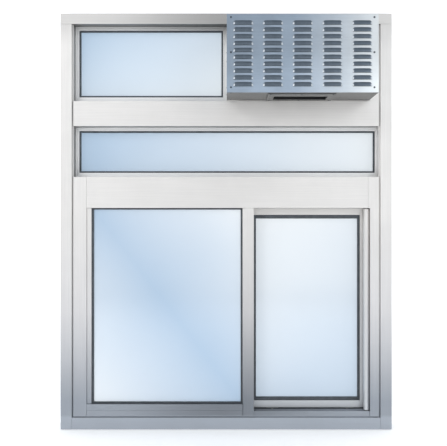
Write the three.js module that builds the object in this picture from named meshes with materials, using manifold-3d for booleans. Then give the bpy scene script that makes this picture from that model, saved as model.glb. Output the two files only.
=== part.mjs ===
// Aluminium service window with a sliding sash and an air curtain unit in its transom.
// Millimetres, +Z up. X runs along the window and -Y is the outdoor side.
// The origin is the middle of the sill's underside.

import * as THREE from "three";
import { mergeVertices } from "three/addons/utils/BufferGeometryUtils.js";
import Module from "manifold-3d";

const wasm = await Module();
wasm.setup();

// ---- Driving dimensions: outer frame -------------------------------------
const GAP = 0.3; // clearance between pieces that meet
const FRAME_WIDTH = 1206.5;
const FRAME_HEIGHT = 1515;
const FRAME_DEPTH = 114;
const BAR_WALL = 3.2; // wall of the hollow extrusions
const JAMB_FACE = 41;
const REVEAL_WIDTH = 5.5; // shadow groove beside each outer jamb
const REVEAL_DEPTH = 12;
const HEAD_HEIGHT = 38;
const SILL_HEIGHT = 47.7;
const SILL_REVEAL = { height: 4.5, depth: 9 }; // groove along the sill's top front edge

// ---- Driving dimensions: rails and inner frame ----------------------------
const TRANSOM_OPENING = 280.6; // clear height of the top opening
const UPPER_RAIL_HEIGHT = 91.4;
const RIBBON_OPENING = 185;
const HEADER_HEIGHT = 113.3;
const LEFT_INNER_FACE = 48;
const RIGHT_INNER_FACE = 39;
const PULL_POCKET = 6.5; // how far the right inner jamb is cut back beside the sash
const MULLION_FACE = 41;
const MEETING_MULLION_X = 80.5; // middle of the meeting mullion
const MULLION_BEVEL = 5;
const TRANSOM_MULLION_X = 2; // left face of the transom mullion
const FRONT_LAYER = 45; // depth of the fixed lite and meeting mullion
const FIXED_SILL_HEIGHT = 43.8;
const RAIL_STEP = 1.5;

// ---- Driving dimensions: glazing ------------------------------------------
const BEAD_SETBACK = 53; // upper beads behind the frame's front face
const BEAD_DEPTH = 12;
const GASKET_DEPTH = 5;
const GLASS_THICKNESS = 19; // insulating glass unit
const GLASS_BITE = 5; // how far glass reaches under its gasket
const TRANSOM_BEAD = { left: 13.5, right: 12.7, top: 13, bottom: 19.5 };
const RIBBON_BEAD = { left: 13.5, right: 6.5, top: 12.5, bottom: 17 };
const UPPER_GASKET = 6.2;
const FIXED_BEAD_WIDTH = 17;
const FIXED_BEAD_SETBACK = 6;
const FIXED_GASKET = { left: 8, right: 6.5, top: 5.5, bottom: 7 };
const FIXED_GLASS_SETBACK = 18;

// ---- Driving dimensions: tracks and sash ----------------------------------
const SASH_SETBACK = 52; // sash front behind the frame's front face
const SASH_DEPTH = 38;
const TRACK_BASE = 8;
const TRACK_WALL = 3;
const TRACK_STEP_HEIGHT = 18; // front step that shows below the sash
const TRACK_LIP_HEIGHT = 21;
const TRACK_LIP_SETBACK = 30;
const TRACK_SETBACK = 5;
const TRACK_REAR_HEIGHT = 46;
const RIDGE_HEIGHT = 6;
const RIDGE_WIDTH = 4;
const HEAD_TRACK_HEIGHT = 14.2;
const HEAD_TRACK_PLATE = 3.4;
const HEAD_LEG_PLAY = 7; // from the sash to the outside of each leg
const SASH_TOP_PLAY = 5; // free height above the sash in the head track
const SASH_BOTTOM_PLAY = 23; // sash bottom above the sill
const SASH_SIDE_PLAY = 5;
const LEFT_STILE = 35;
const RIGHT_STILE = 25;
const TOP_RAIL = 16;
const BOTTOM_RAIL = 26;
const SASH_WALL = 2.5;
const SASH_GASKET = { left: 9, right: 9, top: 13.5, bottom: 12.5 };
const SASH_GASKET_SETBACK = 4;
const PULL_WIDTH = 20.5;
const PULL_PROUD = 44; // pull stands this far in front of the sash
const PULL_WEB = 6;
const PULL_TRACK_PLAY = 2.5;
const PULL_HEAD_PLAY = 4;
const ROLLER_RADIUS = 8;
const ROLLER_WIDTH = 7.4;
const ROLLER_INSET = 70; // rollers from each end of the sash
const AXLE_RADIUS = 2;
const ROLLER_CARRIER_LENGTH = 44;
const ROLLER_CARRIER_DEPTH = 20;
const STOP_LENGTH = 22;

// ---- Driving dimensions: latch --------------------------------------------
const LATCH_HEIGHT = 470; // pivot of the hook bolt above the sill's underside
const LATCH_CASE = { width: 23, depth: 14, above: 46, below: 32 };
const HOOK_LENGTH = 33;
const HOOK_WIDTH = 9;
const HOOK_THICKNESS = 5;
const HOOK_NOSE = 4;
const SPINDLE_RADIUS = 4;
const THUMB_RADIUS = 9;
const THUMB_LENGTH = 26;
const STRIKE_THICKNESS = 1.5;

// ---- Driving dimensions: air curtain unit ---------------------------------
const UNIT_WIDTH = 520.7;
const UNIT_HEIGHT = 268.9;
const UNIT_DEPTH = 216;
const UNIT_LIFT = 3.4; // unit's underside above the upper rail
const SHEET = 1.6;
const LOUVRE_COLUMNS = 5;
const LOUVRE_ROWS = 10;
const LOUVRE_SIDE_MARGIN = 5.3;
const LOUVRE_END_MARGIN = 17;
const LOUVRE_SPACE = 33; // plain sheet between two columns
const LOUVRE_SLOT = 11.2; // slot cut under each hood
const LOUVRE_BELOW = 7.8; // from a row's middle to the bottom of its slot
const HOOD_TOP = 7.8; // from a row's middle to the top of its hood
const HOOD_LIP = 7; // from a row's middle down to the hood's lip
const HOOD_DEPTH = 4.6; // hoods stand this far in front of their sheet
const HOOD_WALL = 1.2;
const FILTER_THICKNESS = 10;
const NOZZLE_WIDTH = 192;
const NOZZLE_DEPTH = 90;
const NOZZLE_TO_WALL = 36;
const FLANGE_MARGIN = { side: 21.5, front: 62, back: 27 };
const FLANGE_THICKNESS = 3;
const NECK_HEIGHT = 26;
const VANE_CHORD = 20;
const VANE_THICKNESS = 2;
const VANE_PIN = 2.5;
const SCROLL_WALL = 1.5;
const SCROLL_GROWTH = 16; // spiral growth over its three quarters of a turn
const SCROLL_FRONT_CLEARANCE = 27;
const SCROLL_TOP_CLEARANCE = 46;
const INLET_MARGIN = 26; // scroll radius less inlet radius
const WHEEL_CLEARANCE = 10;
const WHEEL_BLADES = 20;
const BLADE_DEPTH = 10;
const WHEEL_SIDE_CLEARANCE = 8;
const SHAFT_RADIUS = 5;
const MOTOR_RADIUS = 48;
const MOTOR_LENGTH = 96;
const MOTOR_OFFSET = 15; // motor beside the scroll
const INFILL_THICKNESS = 10;
const CONDUIT_RADIUS = 11;

// ---- Places worked out from the driving dimensions ------------------------
const FRONT = -FRAME_DEPTH / 2;
const BACK = FRAME_DEPTH / 2;
const HALF_WIDTH = FRAME_WIDTH / 2;
const JAMB_INNER = HALF_WIDTH - JAMB_FACE - REVEAL_WIDTH;
const HEAD_BOTTOM = FRAME_HEIGHT - HEAD_HEIGHT;
const UPPER_RAIL_TOP = HEAD_BOTTOM - TRANSOM_OPENING;
const UPPER_RAIL_BOTTOM = UPPER_RAIL_TOP - UPPER_RAIL_HEIGHT;
const HEADER_TOP = UPPER_RAIL_BOTTOM - RIBBON_OPENING;
const HEADER_BOTTOM = HEADER_TOP - HEADER_HEIGHT;
const LEFT_INNER_X = -JAMB_INNER + LEFT_INNER_FACE;
const RIGHT_INNER_X = JAMB_INNER - RIGHT_INNER_FACE;
const SASH_SIDE_X = RIGHT_INNER_X + PULL_POCKET;
const MULLION_LEFT = MEETING_MULLION_X - MULLION_FACE / 2;
const MULLION_RIGHT = MEETING_MULLION_X + MULLION_FACE / 2;
const FRONT_LAYER_BACK = FRONT + FRONT_LAYER;
const SASH_FRONT = FRONT + SASH_SETBACK;
const SASH_BACK = SASH_FRONT + SASH_DEPTH;
const SASH_MIDDLE = (SASH_FRONT + SASH_BACK) / 2;
const SASH_RIGHT = SASH_SIDE_X - SASH_SIDE_PLAY;
const SASH_LEFT = MULLION_RIGHT - LEFT_STILE;
const SASH_TOP = HEADER_BOTTOM - HEAD_TRACK_PLATE - SASH_TOP_PLAY;
const SASH_BOTTOM = SILL_HEIGHT + SASH_BOTTOM_PLAY;
const TRACK_FLOOR = SILL_HEIGHT + GAP + TRACK_BASE;
const PULL_RIGHT = SASH_SIDE_X - 1;
const PULL_LEFT = PULL_RIGHT - PULL_WIDTH;
const TRAVEL_CLEARANCE = 11;
const SASH_TRAVEL = PULL_LEFT - MULLION_RIGHT - TRAVEL_CLEARANCE;
const ROLLER_Z = TRACK_FLOOR + RIDGE_HEIGHT + GAP + ROLLER_RADIUS;
const LATCH_X = SASH_RIGHT - LATCH_CASE.width / 2;
const LATCH_Y = SASH_BACK + GAP + LATCH_CASE.depth / 2;
const UNIT_LEFT = TRANSOM_MULLION_X + 0.2;
const UNIT_RIGHT = UNIT_LEFT + UNIT_WIDTH;
const UNIT_MIDDLE = (UNIT_LEFT + UNIT_RIGHT) / 2;
const UNIT_BOTTOM = UPPER_RAIL_TOP + UNIT_LIFT;
const UNIT_TOP = UNIT_BOTTOM + UNIT_HEIGHT;
const UNIT_FRONT = FRONT - UNIT_DEPTH;
const UNIT_BACK = FRONT - GAP;
const PANEL_FRONT = UNIT_FRONT + HOOD_DEPTH;
const PANEL_BACK = PANEL_FRONT + SHEET;
const SCROLL_SPAN = UNIT_DEPTH - NOZZLE_TO_WALL - SCROLL_FRONT_CLEARANCE;
const SCROLL_BACK_RADIUS = (SCROLL_SPAN + (SCROLL_GROWTH * 2) / 3) / 2;
const SCROLL_START_RADIUS = SCROLL_BACK_RADIUS - SCROLL_GROWTH;
const SCROLL_Y = FRONT - NOZZLE_TO_WALL - SCROLL_BACK_RADIUS;
const SCROLL_Z = UNIT_TOP - SCROLL_TOP_CLEARANCE - SCROLL_BACK_RADIUS;
const NOZZLE_LEFT = UNIT_MIDDLE - NOZZLE_WIDTH / 2;
const NOZZLE_RIGHT = UNIT_MIDDLE + NOZZLE_WIDTH / 2;
const NOZZLE_BACK = FRONT - NOZZLE_TO_WALL;
const NOZZLE_FRONT = NOZZLE_BACK - NOZZLE_DEPTH;
const NECK_TOP = UNIT_BOTTOM + NECK_HEIGHT;
const CONDUIT_X = UNIT_LEFT + 64;
const CONDUIT_Z = UNIT_TOP - 64;

// ---- Making and placing solids ---------------------------------------------
const X_AXIS = new THREE.Vector3(1, 0, 0);
const Y_AXIS = new THREE.Vector3(0, 1, 0);
const Z_AXIS = new THREE.Vector3(0, 0, 1);

// A solid from a closed geometry, ready to be cut or joined.
function solid(geometry) {
  geometry.deleteAttribute("normal");
  geometry.deleteAttribute("uv");
  const merged = mergeVertices(geometry, 1e-4);
  return new wasm.Manifold(new wasm.Mesh({
    numProp: 3,
    vertProperties: new Float32Array(merged.attributes.position.array),
    triVerts: new Uint32Array(merged.index.array),
  }));
}

function block(x0, x1, y0, y1, z0, z1) {
  const box = new THREE.BoxGeometry(x1 - x0, y1 - y0, z1 - z0);
  return solid(box.translate((x0 + x1) / 2, (y0 + y1) / 2, (z0 + z1) / 2));
}

function extrusion(points, length, basis) {
  const shape = new THREE.Shape(points.map(([u, v]) => new THREE.Vector2(u, v)));
  const geometry = new THREE.ExtrudeGeometry(shape, { depth: length, bevelEnabled: false });
  return geometry.applyMatrix4(basis);
}

// A section drawn in (y, z) and run along X.
function alongX(points, x0, x1) {
  const basis = new THREE.Matrix4().makeBasis(Y_AXIS, Z_AXIS, X_AXIS).setPosition(x0, 0, 0);
  return solid(extrusion(points, x1 - x0, basis));
}

// A section drawn in (x, y) and run along Z.
function alongZ(points, z0, z1) {
  return solid(extrusion(points, z1 - z0, new THREE.Matrix4().setPosition(0, 0, z0)));
}

// A section drawn in (x, z) and run along Y.
function alongY(points, y0, y1) {
  const away = Y_AXIS.clone().negate();
  const basis = new THREE.Matrix4().makeBasis(X_AXIS, Z_AXIS, away).setPosition(0, y1, 0);
  return solid(extrusion(points, y1 - y0, basis));
}

// A round bar along "x", "y" or "z", centred on a point.
function rod(axis, radius, [x, y, z], length, sides = 24) {
  const bar = new THREE.CylinderGeometry(radius, radius, length, sides);
  if (axis === "x") bar.rotateZ(Math.PI / 2);
  if (axis === "z") bar.rotateX(Math.PI / 2);
  return solid(bar.translate(x, y, z));
}

// A rectangular tube, open at both ends of its run.
function tube(run, x0, x1, y0, y1, z0, z1, wall = BAR_WALL) {
  const inset = { x: wall, y: wall, z: wall, [run]: -1 };
  const bore = block(
    x0 + inset.x, x1 - inset.x, y0 + inset.y, y1 - inset.y, z0 + inset.z, z1 - inset.z,
  );
  return block(x0, x1, y0, y1, z0, z1).subtract(bore);
}

// An upright rectangular ring; widths holds its four face widths.
function ring(area, widths, y0, y1) {
  const { x0, x1, z0, z1 } = area;
  const hole = block(
    x0 + widths.left, x1 - widths.right, y0 - 1, y1 + 1, z0 + widths.bottom, z1 - widths.top,
  );
  return block(x0, x1, y0, y1, z0, z1).subtract(hole);
}

function evenly(width) {
  return { left: width, right: width, top: width, bottom: width };
}

// The area left inside a ring, moved outwards by "grow".
function inside(area, widths, grow = 0) {
  return {
    x0: area.x0 + widths.left - grow,
    x1: area.x1 - widths.right + grow,
    z0: area.z0 + widths.bottom - grow,
    z1: area.z1 - widths.top + grow,
  };
}

// ---- Finishes ---------------------------------------------------------------
const FINISHES = {
  anodised: { color: 0xc9cdd3, roughness: 0.42, metalness: 0.85 },
  sheetMetal: { color: 0xb9c0ca, roughness: 0.38, metalness: 0.9 },
  glass: { color: 0xb9d2ea, roughness: 0.05, metalness: 0, transparent: true, opacity: 0.45 },
  gasket: { color: 0x565d66, roughness: 0.7, metalness: 0 },
  nylon: { color: 0xe6e4dc, roughness: 0.5, metalness: 0 },
  steel: { color: 0x9a9da3, roughness: 0.35, metalness: 1 },
  darkPlastic: { color: 0x26282b, roughness: 0.45, metalness: 0 },
  motorPaint: { color: 0x2f3338, roughness: 0.5, metalness: 0.3 },
  filterFoam: { color: 0x3c4046, roughness: 0.95, metalness: 0 },
};

const frame = new THREE.Group();
const sash = new THREE.Group();
const unit = new THREE.Group();
const assembly = new THREE.Group();
assembly.add(frame, sash, unit);

// Adds one named sub-part to a group.
function addPart(group, name, finish, manifold) {
  const mesh = manifold.getMesh();
  const geometry = new THREE.BufferGeometry();
  geometry.setAttribute("position", new THREE.BufferAttribute(mesh.vertProperties, 3));
  geometry.setIndex(new THREE.BufferAttribute(mesh.triVerts, 1));
  geometry.computeVertexNormals();
  const part = new THREE.Mesh(geometry, new THREE.MeshStandardMaterial(FINISHES[finish]));
  part.name = name;
  group.add(part);
}

// ---- Outer frame ------------------------------------------------------------
// Jamb section: a box bar with a thinner lip that leaves the shadow groove in front of it.
function outerJamb(side) {
  const across = (u) => side * (HALF_WIDTH - u);
  const lipEdge = JAMB_FACE + REVEAL_WIDTH;
  const section = [
    [across(0), FRONT],
    [across(JAMB_FACE), FRONT],
    [across(JAMB_FACE), FRONT + REVEAL_DEPTH],
    [across(lipEdge), FRONT + REVEAL_DEPTH],
    [across(lipEdge), BACK],
    [across(0), BACK],
  ];
  const edges = [across(BAR_WALL), across(JAMB_FACE - BAR_WALL)].sort((a, b) => a - b);
  const bore = block(edges[0], edges[1], FRONT + BAR_WALL, BACK - BAR_WALL, -1, HEAD_BOTTOM + 1);
  return alongZ(section, 0, HEAD_BOTTOM - GAP).subtract(bore);
}

function buildOuterFrame() {
  addPart(frame, "frame_head", "anodised",
    tube("x", -HALF_WIDTH, HALF_WIDTH, FRONT, BACK, HEAD_BOTTOM, FRAME_HEIGHT));
  addPart(frame, "left_jamb", "anodised", outerJamb(-1));
  addPart(frame, "right_jamb", "anodised", outerJamb(1));
  const sillEnd = HALF_WIDTH - JAMB_FACE - GAP;
  const lipRoom = JAMB_INNER - GAP;
  let sill = tube("x", -sillEnd, sillEnd, FRONT, BACK, 0, SILL_HEIGHT);
  for (const side of [-1, 1]) {
    const [near, far] = [side * lipRoom, side * (sillEnd + 1)].sort((a, b) => a - b);
    sill = sill.subtract(
      block(near, far, FRONT + REVEAL_DEPTH - GAP, BACK + 1, -1, SILL_HEIGHT + 1));
  }
  addPart(frame, "sill", "anodised", sill
    .add(block(-lipRoom, lipRoom, FRONT + 1, FRONT + SILL_REVEAL.depth + BAR_WALL,
      SILL_HEIGHT - SILL_REVEAL.height - BAR_WALL, SILL_HEIGHT - 1))
    .subtract(block(-HALF_WIDTH, HALF_WIDTH, FRONT - 1, FRONT + SILL_REVEAL.depth,
      SILL_HEIGHT - SILL_REVEAL.height, SILL_HEIGHT + 1)));
}

// ---- Rails and inner frame ----------------------------------------------------
function buildRails() {
  const end = JAMB_INNER - GAP;
  addPart(frame, "upper_rail", "anodised",
    tube("x", -end, end, FRONT, BACK, UPPER_RAIL_BOTTOM, UPPER_RAIL_TOP));
  addPart(frame, "header_rail", "anodised", tube(
    "x", LEFT_INNER_X + GAP, RIGHT_INNER_X - GAP, FRONT, BACK, HEADER_BOTTOM, HEADER_TOP));
  addPart(frame, "transom_mullion", "anodised", tube(
    "z", TRANSOM_MULLION_X, TRANSOM_MULLION_X + MULLION_FACE, FRONT, BACK,
    UPPER_RAIL_TOP + GAP, HEAD_BOTTOM - GAP));
}

function buildInnerJambs() {
  const bottom = SILL_HEIGHT + GAP;
  addPart(frame, "left_inner_jamb", "anodised", tube(
    "z", -JAMB_INNER + GAP, LEFT_INNER_X, FRONT, BACK, bottom, HEADER_TOP));
  // The right one is cut back beside the sash, so that the pull nests against it.
  const pocketTop = HEADER_BOTTOM - GAP;
  const jamb = block(RIGHT_INNER_X, JAMB_INNER - GAP, FRONT, BACK, bottom, HEADER_TOP);
  const pocket = block(RIGHT_INNER_X - 1, SASH_SIDE_X, FRONT - 1, BACK + 1, bottom - 1, pocketTop);
  const bore = block(
    SASH_SIDE_X + BAR_WALL, JAMB_INNER - GAP - BAR_WALL, FRONT + BAR_WALL, BACK - BAR_WALL,
    bottom - 1, HEADER_TOP + 1);
  addPart(frame, "right_inner_jamb", "anodised",
    jamb.subtract(pocket).subtract(bore).subtract(hookSlot(SASH_SIDE_X - 1, BAR_WALL + 2, 1)));
}

function buildMeetingMullion() {
  // The left half of the face leans back, which leaves a ridge down its middle.
  const face = [
    [MULLION_LEFT, FRONT + MULLION_BEVEL],
    [MEETING_MULLION_X, FRONT],
    [MULLION_RIGHT, FRONT],
    [MULLION_RIGHT, FRONT_LAYER_BACK],
    [MULLION_LEFT, FRONT_LAYER_BACK],
  ];
  const [bottom, top] = [SILL_HEIGHT + GAP, HEADER_BOTTOM - GAP];
  const bore = block(
    MULLION_LEFT + BAR_WALL, MULLION_RIGHT - BAR_WALL, FRONT + MULLION_BEVEL + BAR_WALL,
    FRONT_LAYER_BACK - BAR_WALL, bottom - 1, top + 1);
  addPart(frame, "meeting_mullion", "anodised", alongZ(face, bottom, top).subtract(bore));
}

function buildTracks() {
  const [x0, x1] = [LEFT_INNER_X + GAP, SASH_SIDE_X - GAP];
  const bottom = SILL_HEIGHT + GAP;
  // Bottom rail in front of the fixed lite, with a small step half way up its face.
  const top = bottom + FIXED_SILL_HEIGHT;
  const middle = (bottom + top) / 2;
  addPart(frame, "fixed_sill_rail", "anodised", alongX([
    [FRONT + RAIL_STEP, bottom],
    [FRONT_LAYER_BACK, bottom],
    [FRONT_LAYER_BACK, top],
    [FRONT, top],
    [FRONT, middle],
    [FRONT + RAIL_STEP, middle - RAIL_STEP],
  ], x0, MULLION_LEFT - GAP).subtract(block(
    x0 - 1, MULLION_LEFT + 1, FRONT + RAIL_STEP + BAR_WALL, FRONT_LAYER_BACK - BAR_WALL,
    bottom + BAR_WALL, top - BAR_WALL)));

  // Sill track: base, front step and lip, roller ridge and rear wall, notched behind the
  // fixed lite.
  const [trackFront, lipFront] = [FRONT + TRACK_SETBACK, FRONT + TRACK_LIP_SETBACK];
  const base = block(x0, x1, trackFront, BACK - BAR_WALL, bottom, TRACK_FLOOR);
  const step = block(x0, x1, trackFront, lipFront + 1, bottom, bottom + TRACK_STEP_HEIGHT);
  const lip = block(x0, x1, lipFront, lipFront + TRACK_WALL, bottom, bottom + TRACK_LIP_HEIGHT);
  const ridge = block(x0, x1, SASH_MIDDLE - RIDGE_WIDTH / 2, SASH_MIDDLE + RIDGE_WIDTH / 2,
    bottom, TRACK_FLOOR + RIDGE_HEIGHT);
  const rear = block(x0, x1, BACK - BAR_WALL - TRACK_WALL, BACK - BAR_WALL,
    bottom, bottom + TRACK_REAR_HEIGHT);
  const notch = block(x0 - 1, MULLION_RIGHT + GAP, FRONT - 1, FRONT_LAYER_BACK + GAP,
    bottom - 1, bottom + TRACK_LIP_HEIGHT + 1);
  addPart(frame, "sill_track", "anodised", base.add(step).add(lip).add(ridge).add(rear).subtract(notch));

  // Head track: a channel that holds the top of the sash.
  const headRight = RIGHT_INNER_X - GAP;
  const plateTop = HEADER_BOTTOM - GAP;
  const [legFront, legBack] = [SASH_FRONT - HEAD_LEG_PLAY, SASH_BACK + HEAD_LEG_PLAY];
  const legs = block(x0, headRight, legFront, legBack, HEADER_BOTTOM - HEAD_TRACK_HEIGHT, plateTop);
  const channel = block(x0 - 1, headRight + 1, legFront + TRACK_WALL, legBack - TRACK_WALL,
    0, HEADER_BOTTOM - HEAD_TRACK_PLATE);
  const overlap = block(x0 - 1, MULLION_RIGHT + GAP, legFront - 1, FRONT_LAYER_BACK + GAP,
    0, plateTop + 1);
  addPart(frame, "head_track", "anodised", legs.subtract(channel).subtract(overlap));

  // Rubber stop that ends the sash's travel.
  const stopRight = SASH_LEFT - SASH_TRAVEL - 1;
  const ridgeRoom = block(stopRight - STOP_LENGTH - 1, stopRight + 1,
    SASH_MIDDLE - RIDGE_WIDTH / 2 - GAP, SASH_MIDDLE + RIDGE_WIDTH / 2 + GAP,
    0, TRACK_FLOOR + RIDGE_HEIGHT + GAP);
  addPart(frame, "sash_stop", "darkPlastic", block(
    stopRight - STOP_LENGTH, stopRight, SASH_FRONT + 2, SASH_BACK - 2,
    TRACK_FLOOR + GAP, SASH_BOTTOM + BOTTOM_RAIL / 2).subtract(ridgeRoom));
}

// ---- Glazing ------------------------------------------------------------------
// One lite of glass held by a bead ring and a gasket ring.
function glaze(group, name, area, beadWidths, gasketWidths, beadFront) {
  const beadBack = beadFront + BEAD_DEPTH;
  addPart(group, `${name}_bead`, "anodised", ring(area, beadWidths, beadFront, beadBack));
  const gasketArea = inside(area, beadWidths, -GAP);
  addPart(group, `${name}_gasket`, "gasket",
    ring(gasketArea, gasketWidths, beadBack - GASKET_DEPTH, beadBack));
  const pane = inside(gasketArea, gasketWidths, GLASS_BITE);
  addPart(group, `${name}_glass`, "glass", block(
    pane.x0, pane.x1, beadBack + GAP, beadBack + GAP + GLASS_THICKNESS, pane.z0, pane.z1));
}

function buildUpperGlazing() {
  const gasket = evenly(UPPER_GASKET);
  const beadFront = FRONT + BEAD_SETBACK;
  glaze(frame, "transom", {
    x0: -JAMB_INNER + GAP, x1: TRANSOM_MULLION_X - GAP,
    z0: UPPER_RAIL_TOP + GAP, z1: HEAD_BOTTOM - GAP,
  }, TRANSOM_BEAD, gasket, beadFront);
  glaze(frame, "ribbon", {
    x0: -JAMB_INNER + GAP, x1: JAMB_INNER - GAP,
    z0: HEADER_TOP + GAP, z1: UPPER_RAIL_BOTTOM - GAP,
  }, RIBBON_BEAD, gasket, beadFront);
}

function buildFixedLite() {
  const area = {
    x0: LEFT_INNER_X + FIXED_BEAD_WIDTH + 2 * GAP,
    x1: MULLION_LEFT - GAP,
    z0: SILL_HEIGHT + FIXED_SILL_HEIGHT + 2 * GAP,
    z1: HEADER_BOTTOM - GAP,
  };
  const glassFront = FRONT + FIXED_GLASS_SETBACK;
  addPart(frame, "fixed_side_bead", "anodised", block(
    LEFT_INNER_X + GAP, LEFT_INNER_X + GAP + FIXED_BEAD_WIDTH,
    FRONT + FIXED_BEAD_SETBACK, glassFront + GLASS_THICKNESS, area.z0, area.z1));
  addPart(frame, "fixed_gasket", "gasket",
    ring(area, FIXED_GASKET, glassFront - GAP - GASKET_DEPTH, glassFront - GAP));
  const pane = inside(area, FIXED_GASKET, GLASS_BITE);
  addPart(frame, "fixed_glass", "glass",
    block(pane.x0, pane.x1, glassFront, glassFront + GLASS_THICKNESS, pane.z0, pane.z1));
}

// ---- Sliding sash ---------------------------------------------------------------
function buildSashFrame() {
  const stileZ = [SASH_BOTTOM, SASH_TOP];
  addPart(sash, "sash_left_stile", "anodised", tube(
    "z", SASH_LEFT, MULLION_RIGHT - GAP, SASH_FRONT, SASH_BACK, ...stileZ, SASH_WALL));
  addPart(sash, "sash_right_stile", "anodised", tube(
    "z", SASH_RIGHT - RIGHT_STILE, SASH_RIGHT, SASH_FRONT, SASH_BACK, ...stileZ, SASH_WALL));
  const [x0, x1] = [MULLION_RIGHT, SASH_RIGHT - RIGHT_STILE - GAP];
  addPart(sash, "sash_top_rail", "anodised", tube(
    "x", x0, x1, SASH_FRONT, SASH_BACK, SASH_TOP - TOP_RAIL, SASH_TOP, SASH_WALL));
  // The bottom rail is a channel open below, where the rollers sit.
  const bottomRail = block(x0, x1, SASH_FRONT, SASH_BACK, SASH_BOTTOM, SASH_BOTTOM + BOTTOM_RAIL);
  const channel = block(x0 - 1, x1 + 1, SASH_FRONT + SASH_WALL, SASH_BACK - SASH_WALL,
    SASH_BOTTOM - 1, SASH_BOTTOM + BOTTOM_RAIL - SASH_WALL);
  addPart(sash, "sash_bottom_rail", "anodised", bottomRail.subtract(channel));
}

function buildSashGlazing() {
  const area = {
    x0: MULLION_RIGHT + GAP,
    x1: SASH_RIGHT - RIGHT_STILE - GAP,
    z0: SASH_BOTTOM + BOTTOM_RAIL + GAP,
    z1: SASH_TOP - TOP_RAIL - GAP,
  };
  const gasketFront = SASH_FRONT + SASH_GASKET_SETBACK;
  const glassFront = gasketFront + GASKET_DEPTH + GAP;
  const glassBack = glassFront + GLASS_THICKNESS;
  addPart(sash, "sash_gasket", "gasket",
    ring(area, SASH_GASKET, gasketFront, gasketFront + GASKET_DEPTH));
  const pane = inside(area, SASH_GASKET, GLASS_BITE);
  addPart(sash, "sash_glass", "glass",
    block(pane.x0, pane.x1, glassFront, glassBack, pane.z0, pane.z1));
  addPart(sash, "sash_rear_bead", "anodised",
    ring(area, SASH_GASKET, glassBack + GAP, SASH_BACK - 1));
}

function buildPull() {
  // Rounded grip on a web that reaches back to the face of the stile.
  const front = SASH_FRONT - PULL_PROUD;
  const radius = PULL_WIDTH / 2;
  const middle = (PULL_LEFT + PULL_RIGHT) / 2;
  const section = [];
  const steps = 12;
  for (let i = 0; i <= steps; i += 1) {
    const turn = Math.PI + (Math.PI * i) / steps;
    section.push([middle + radius * Math.cos(turn), front + radius + radius * Math.sin(turn)]);
  }
  const stileEdge = SASH_RIGHT - PULL_WEB;
  section.push([PULL_RIGHT, front + 2 * radius], [SASH_RIGHT, front + 2 * radius]);
  section.push([SASH_RIGHT, SASH_FRONT - GAP], [stileEdge, SASH_FRONT - GAP]);
  section.push([stileEdge, front + 2 * radius], [PULL_LEFT, front + 2 * radius]);
  const bottom = SILL_HEIGHT + GAP + TRACK_STEP_HEIGHT + PULL_TRACK_PLAY;
  const overLip = block(PULL_LEFT - 1, SASH_RIGHT + 1,
    front + 2 * radius - PULL_TRACK_PLAY, SASH_FRONT,
    bottom - 1, SILL_HEIGHT + GAP + TRACK_LIP_HEIGHT + PULL_TRACK_PLAY);
  const underTrack = block(PULL_LEFT - 1, SASH_RIGHT + 1,
    SASH_FRONT - HEAD_LEG_PLAY - PULL_TRACK_PLAY, SASH_FRONT,
    HEADER_BOTTOM - HEAD_TRACK_HEIGHT - PULL_TRACK_PLAY, HEADER_BOTTOM);
  addPart(sash, "sash_pull", "anodised",
    alongZ(section, bottom, HEADER_BOTTOM - PULL_HEAD_PLAY).subtract(underTrack).subtract(overLip));
}

function buildSashRunning() {
  const places = { left: MULLION_RIGHT + ROLLER_INSET, right: SASH_RIGHT - ROLLER_INSET };
  const top = SASH_BOTTOM + BOTTOM_RAIL - SASH_WALL - GAP;
  const halfDepth = ROLLER_CARRIER_DEPTH / 2;
  const slotHalf = ROLLER_WIDTH / 2 + GAP;
  for (const [side, x] of Object.entries(places)) {
    const half = ROLLER_CARRIER_LENGTH / 2;
    const carrier = block(x - half, x + half, SASH_MIDDLE - halfDepth, SASH_MIDDLE + halfDepth,
      ROLLER_Z - AXLE_RADIUS - 2, top);
    const slotRadius = ROLLER_RADIUS + 1.5;
    const slot = block(x - slotRadius, x + slotRadius, SASH_MIDDLE - slotHalf,
      SASH_MIDDLE + slotHalf, 0, ROLLER_Z + slotRadius);
    const axle = rod("y", AXLE_RADIUS, [x, SASH_MIDDLE, ROLLER_Z], ROLLER_CARRIER_DEPTH, 16);
    addPart(sash, `${side}_roller_carrier`, "steel", carrier.subtract(slot).add(axle));
    const wheel = rod("y", ROLLER_RADIUS, [x, SASH_MIDDLE, ROLLER_Z], ROLLER_WIDTH, 32);
    const bore = rod("y", AXLE_RADIUS + GAP, [x, SASH_MIDDLE, ROLLER_Z], ROLLER_WIDTH + 2, 16);
    addPart(sash, `${side}_roller`, "nylon", wheel.subtract(bore));
  }
  addPart(sash, "top_weatherstrip", "gasket", block(
    SASH_LEFT + 2, SASH_RIGHT - 2, SASH_MIDDLE - 10, SASH_MIDDLE + 10,
    SASH_TOP + GAP, SASH_TOP + SASH_TOP_PLAY - GAP));
}

// ---- Latch ------------------------------------------------------------------------
// The slot that the swinging hook bolt passes through, in a plate of the given depth.
function hookSlot(x0, depth, grow) {
  return block(x0, x0 + depth, LATCH_Y - HOOK_THICKNESS / 2 - 1 - grow,
    LATCH_Y + HOOK_THICKNESS / 2 + 1 + grow,
    LATCH_HEIGHT - HOOK_WIDTH / 2 - HOOK_NOSE - 4 - grow, LATCH_HEIGHT + HOOK_LENGTH + grow);
}

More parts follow.
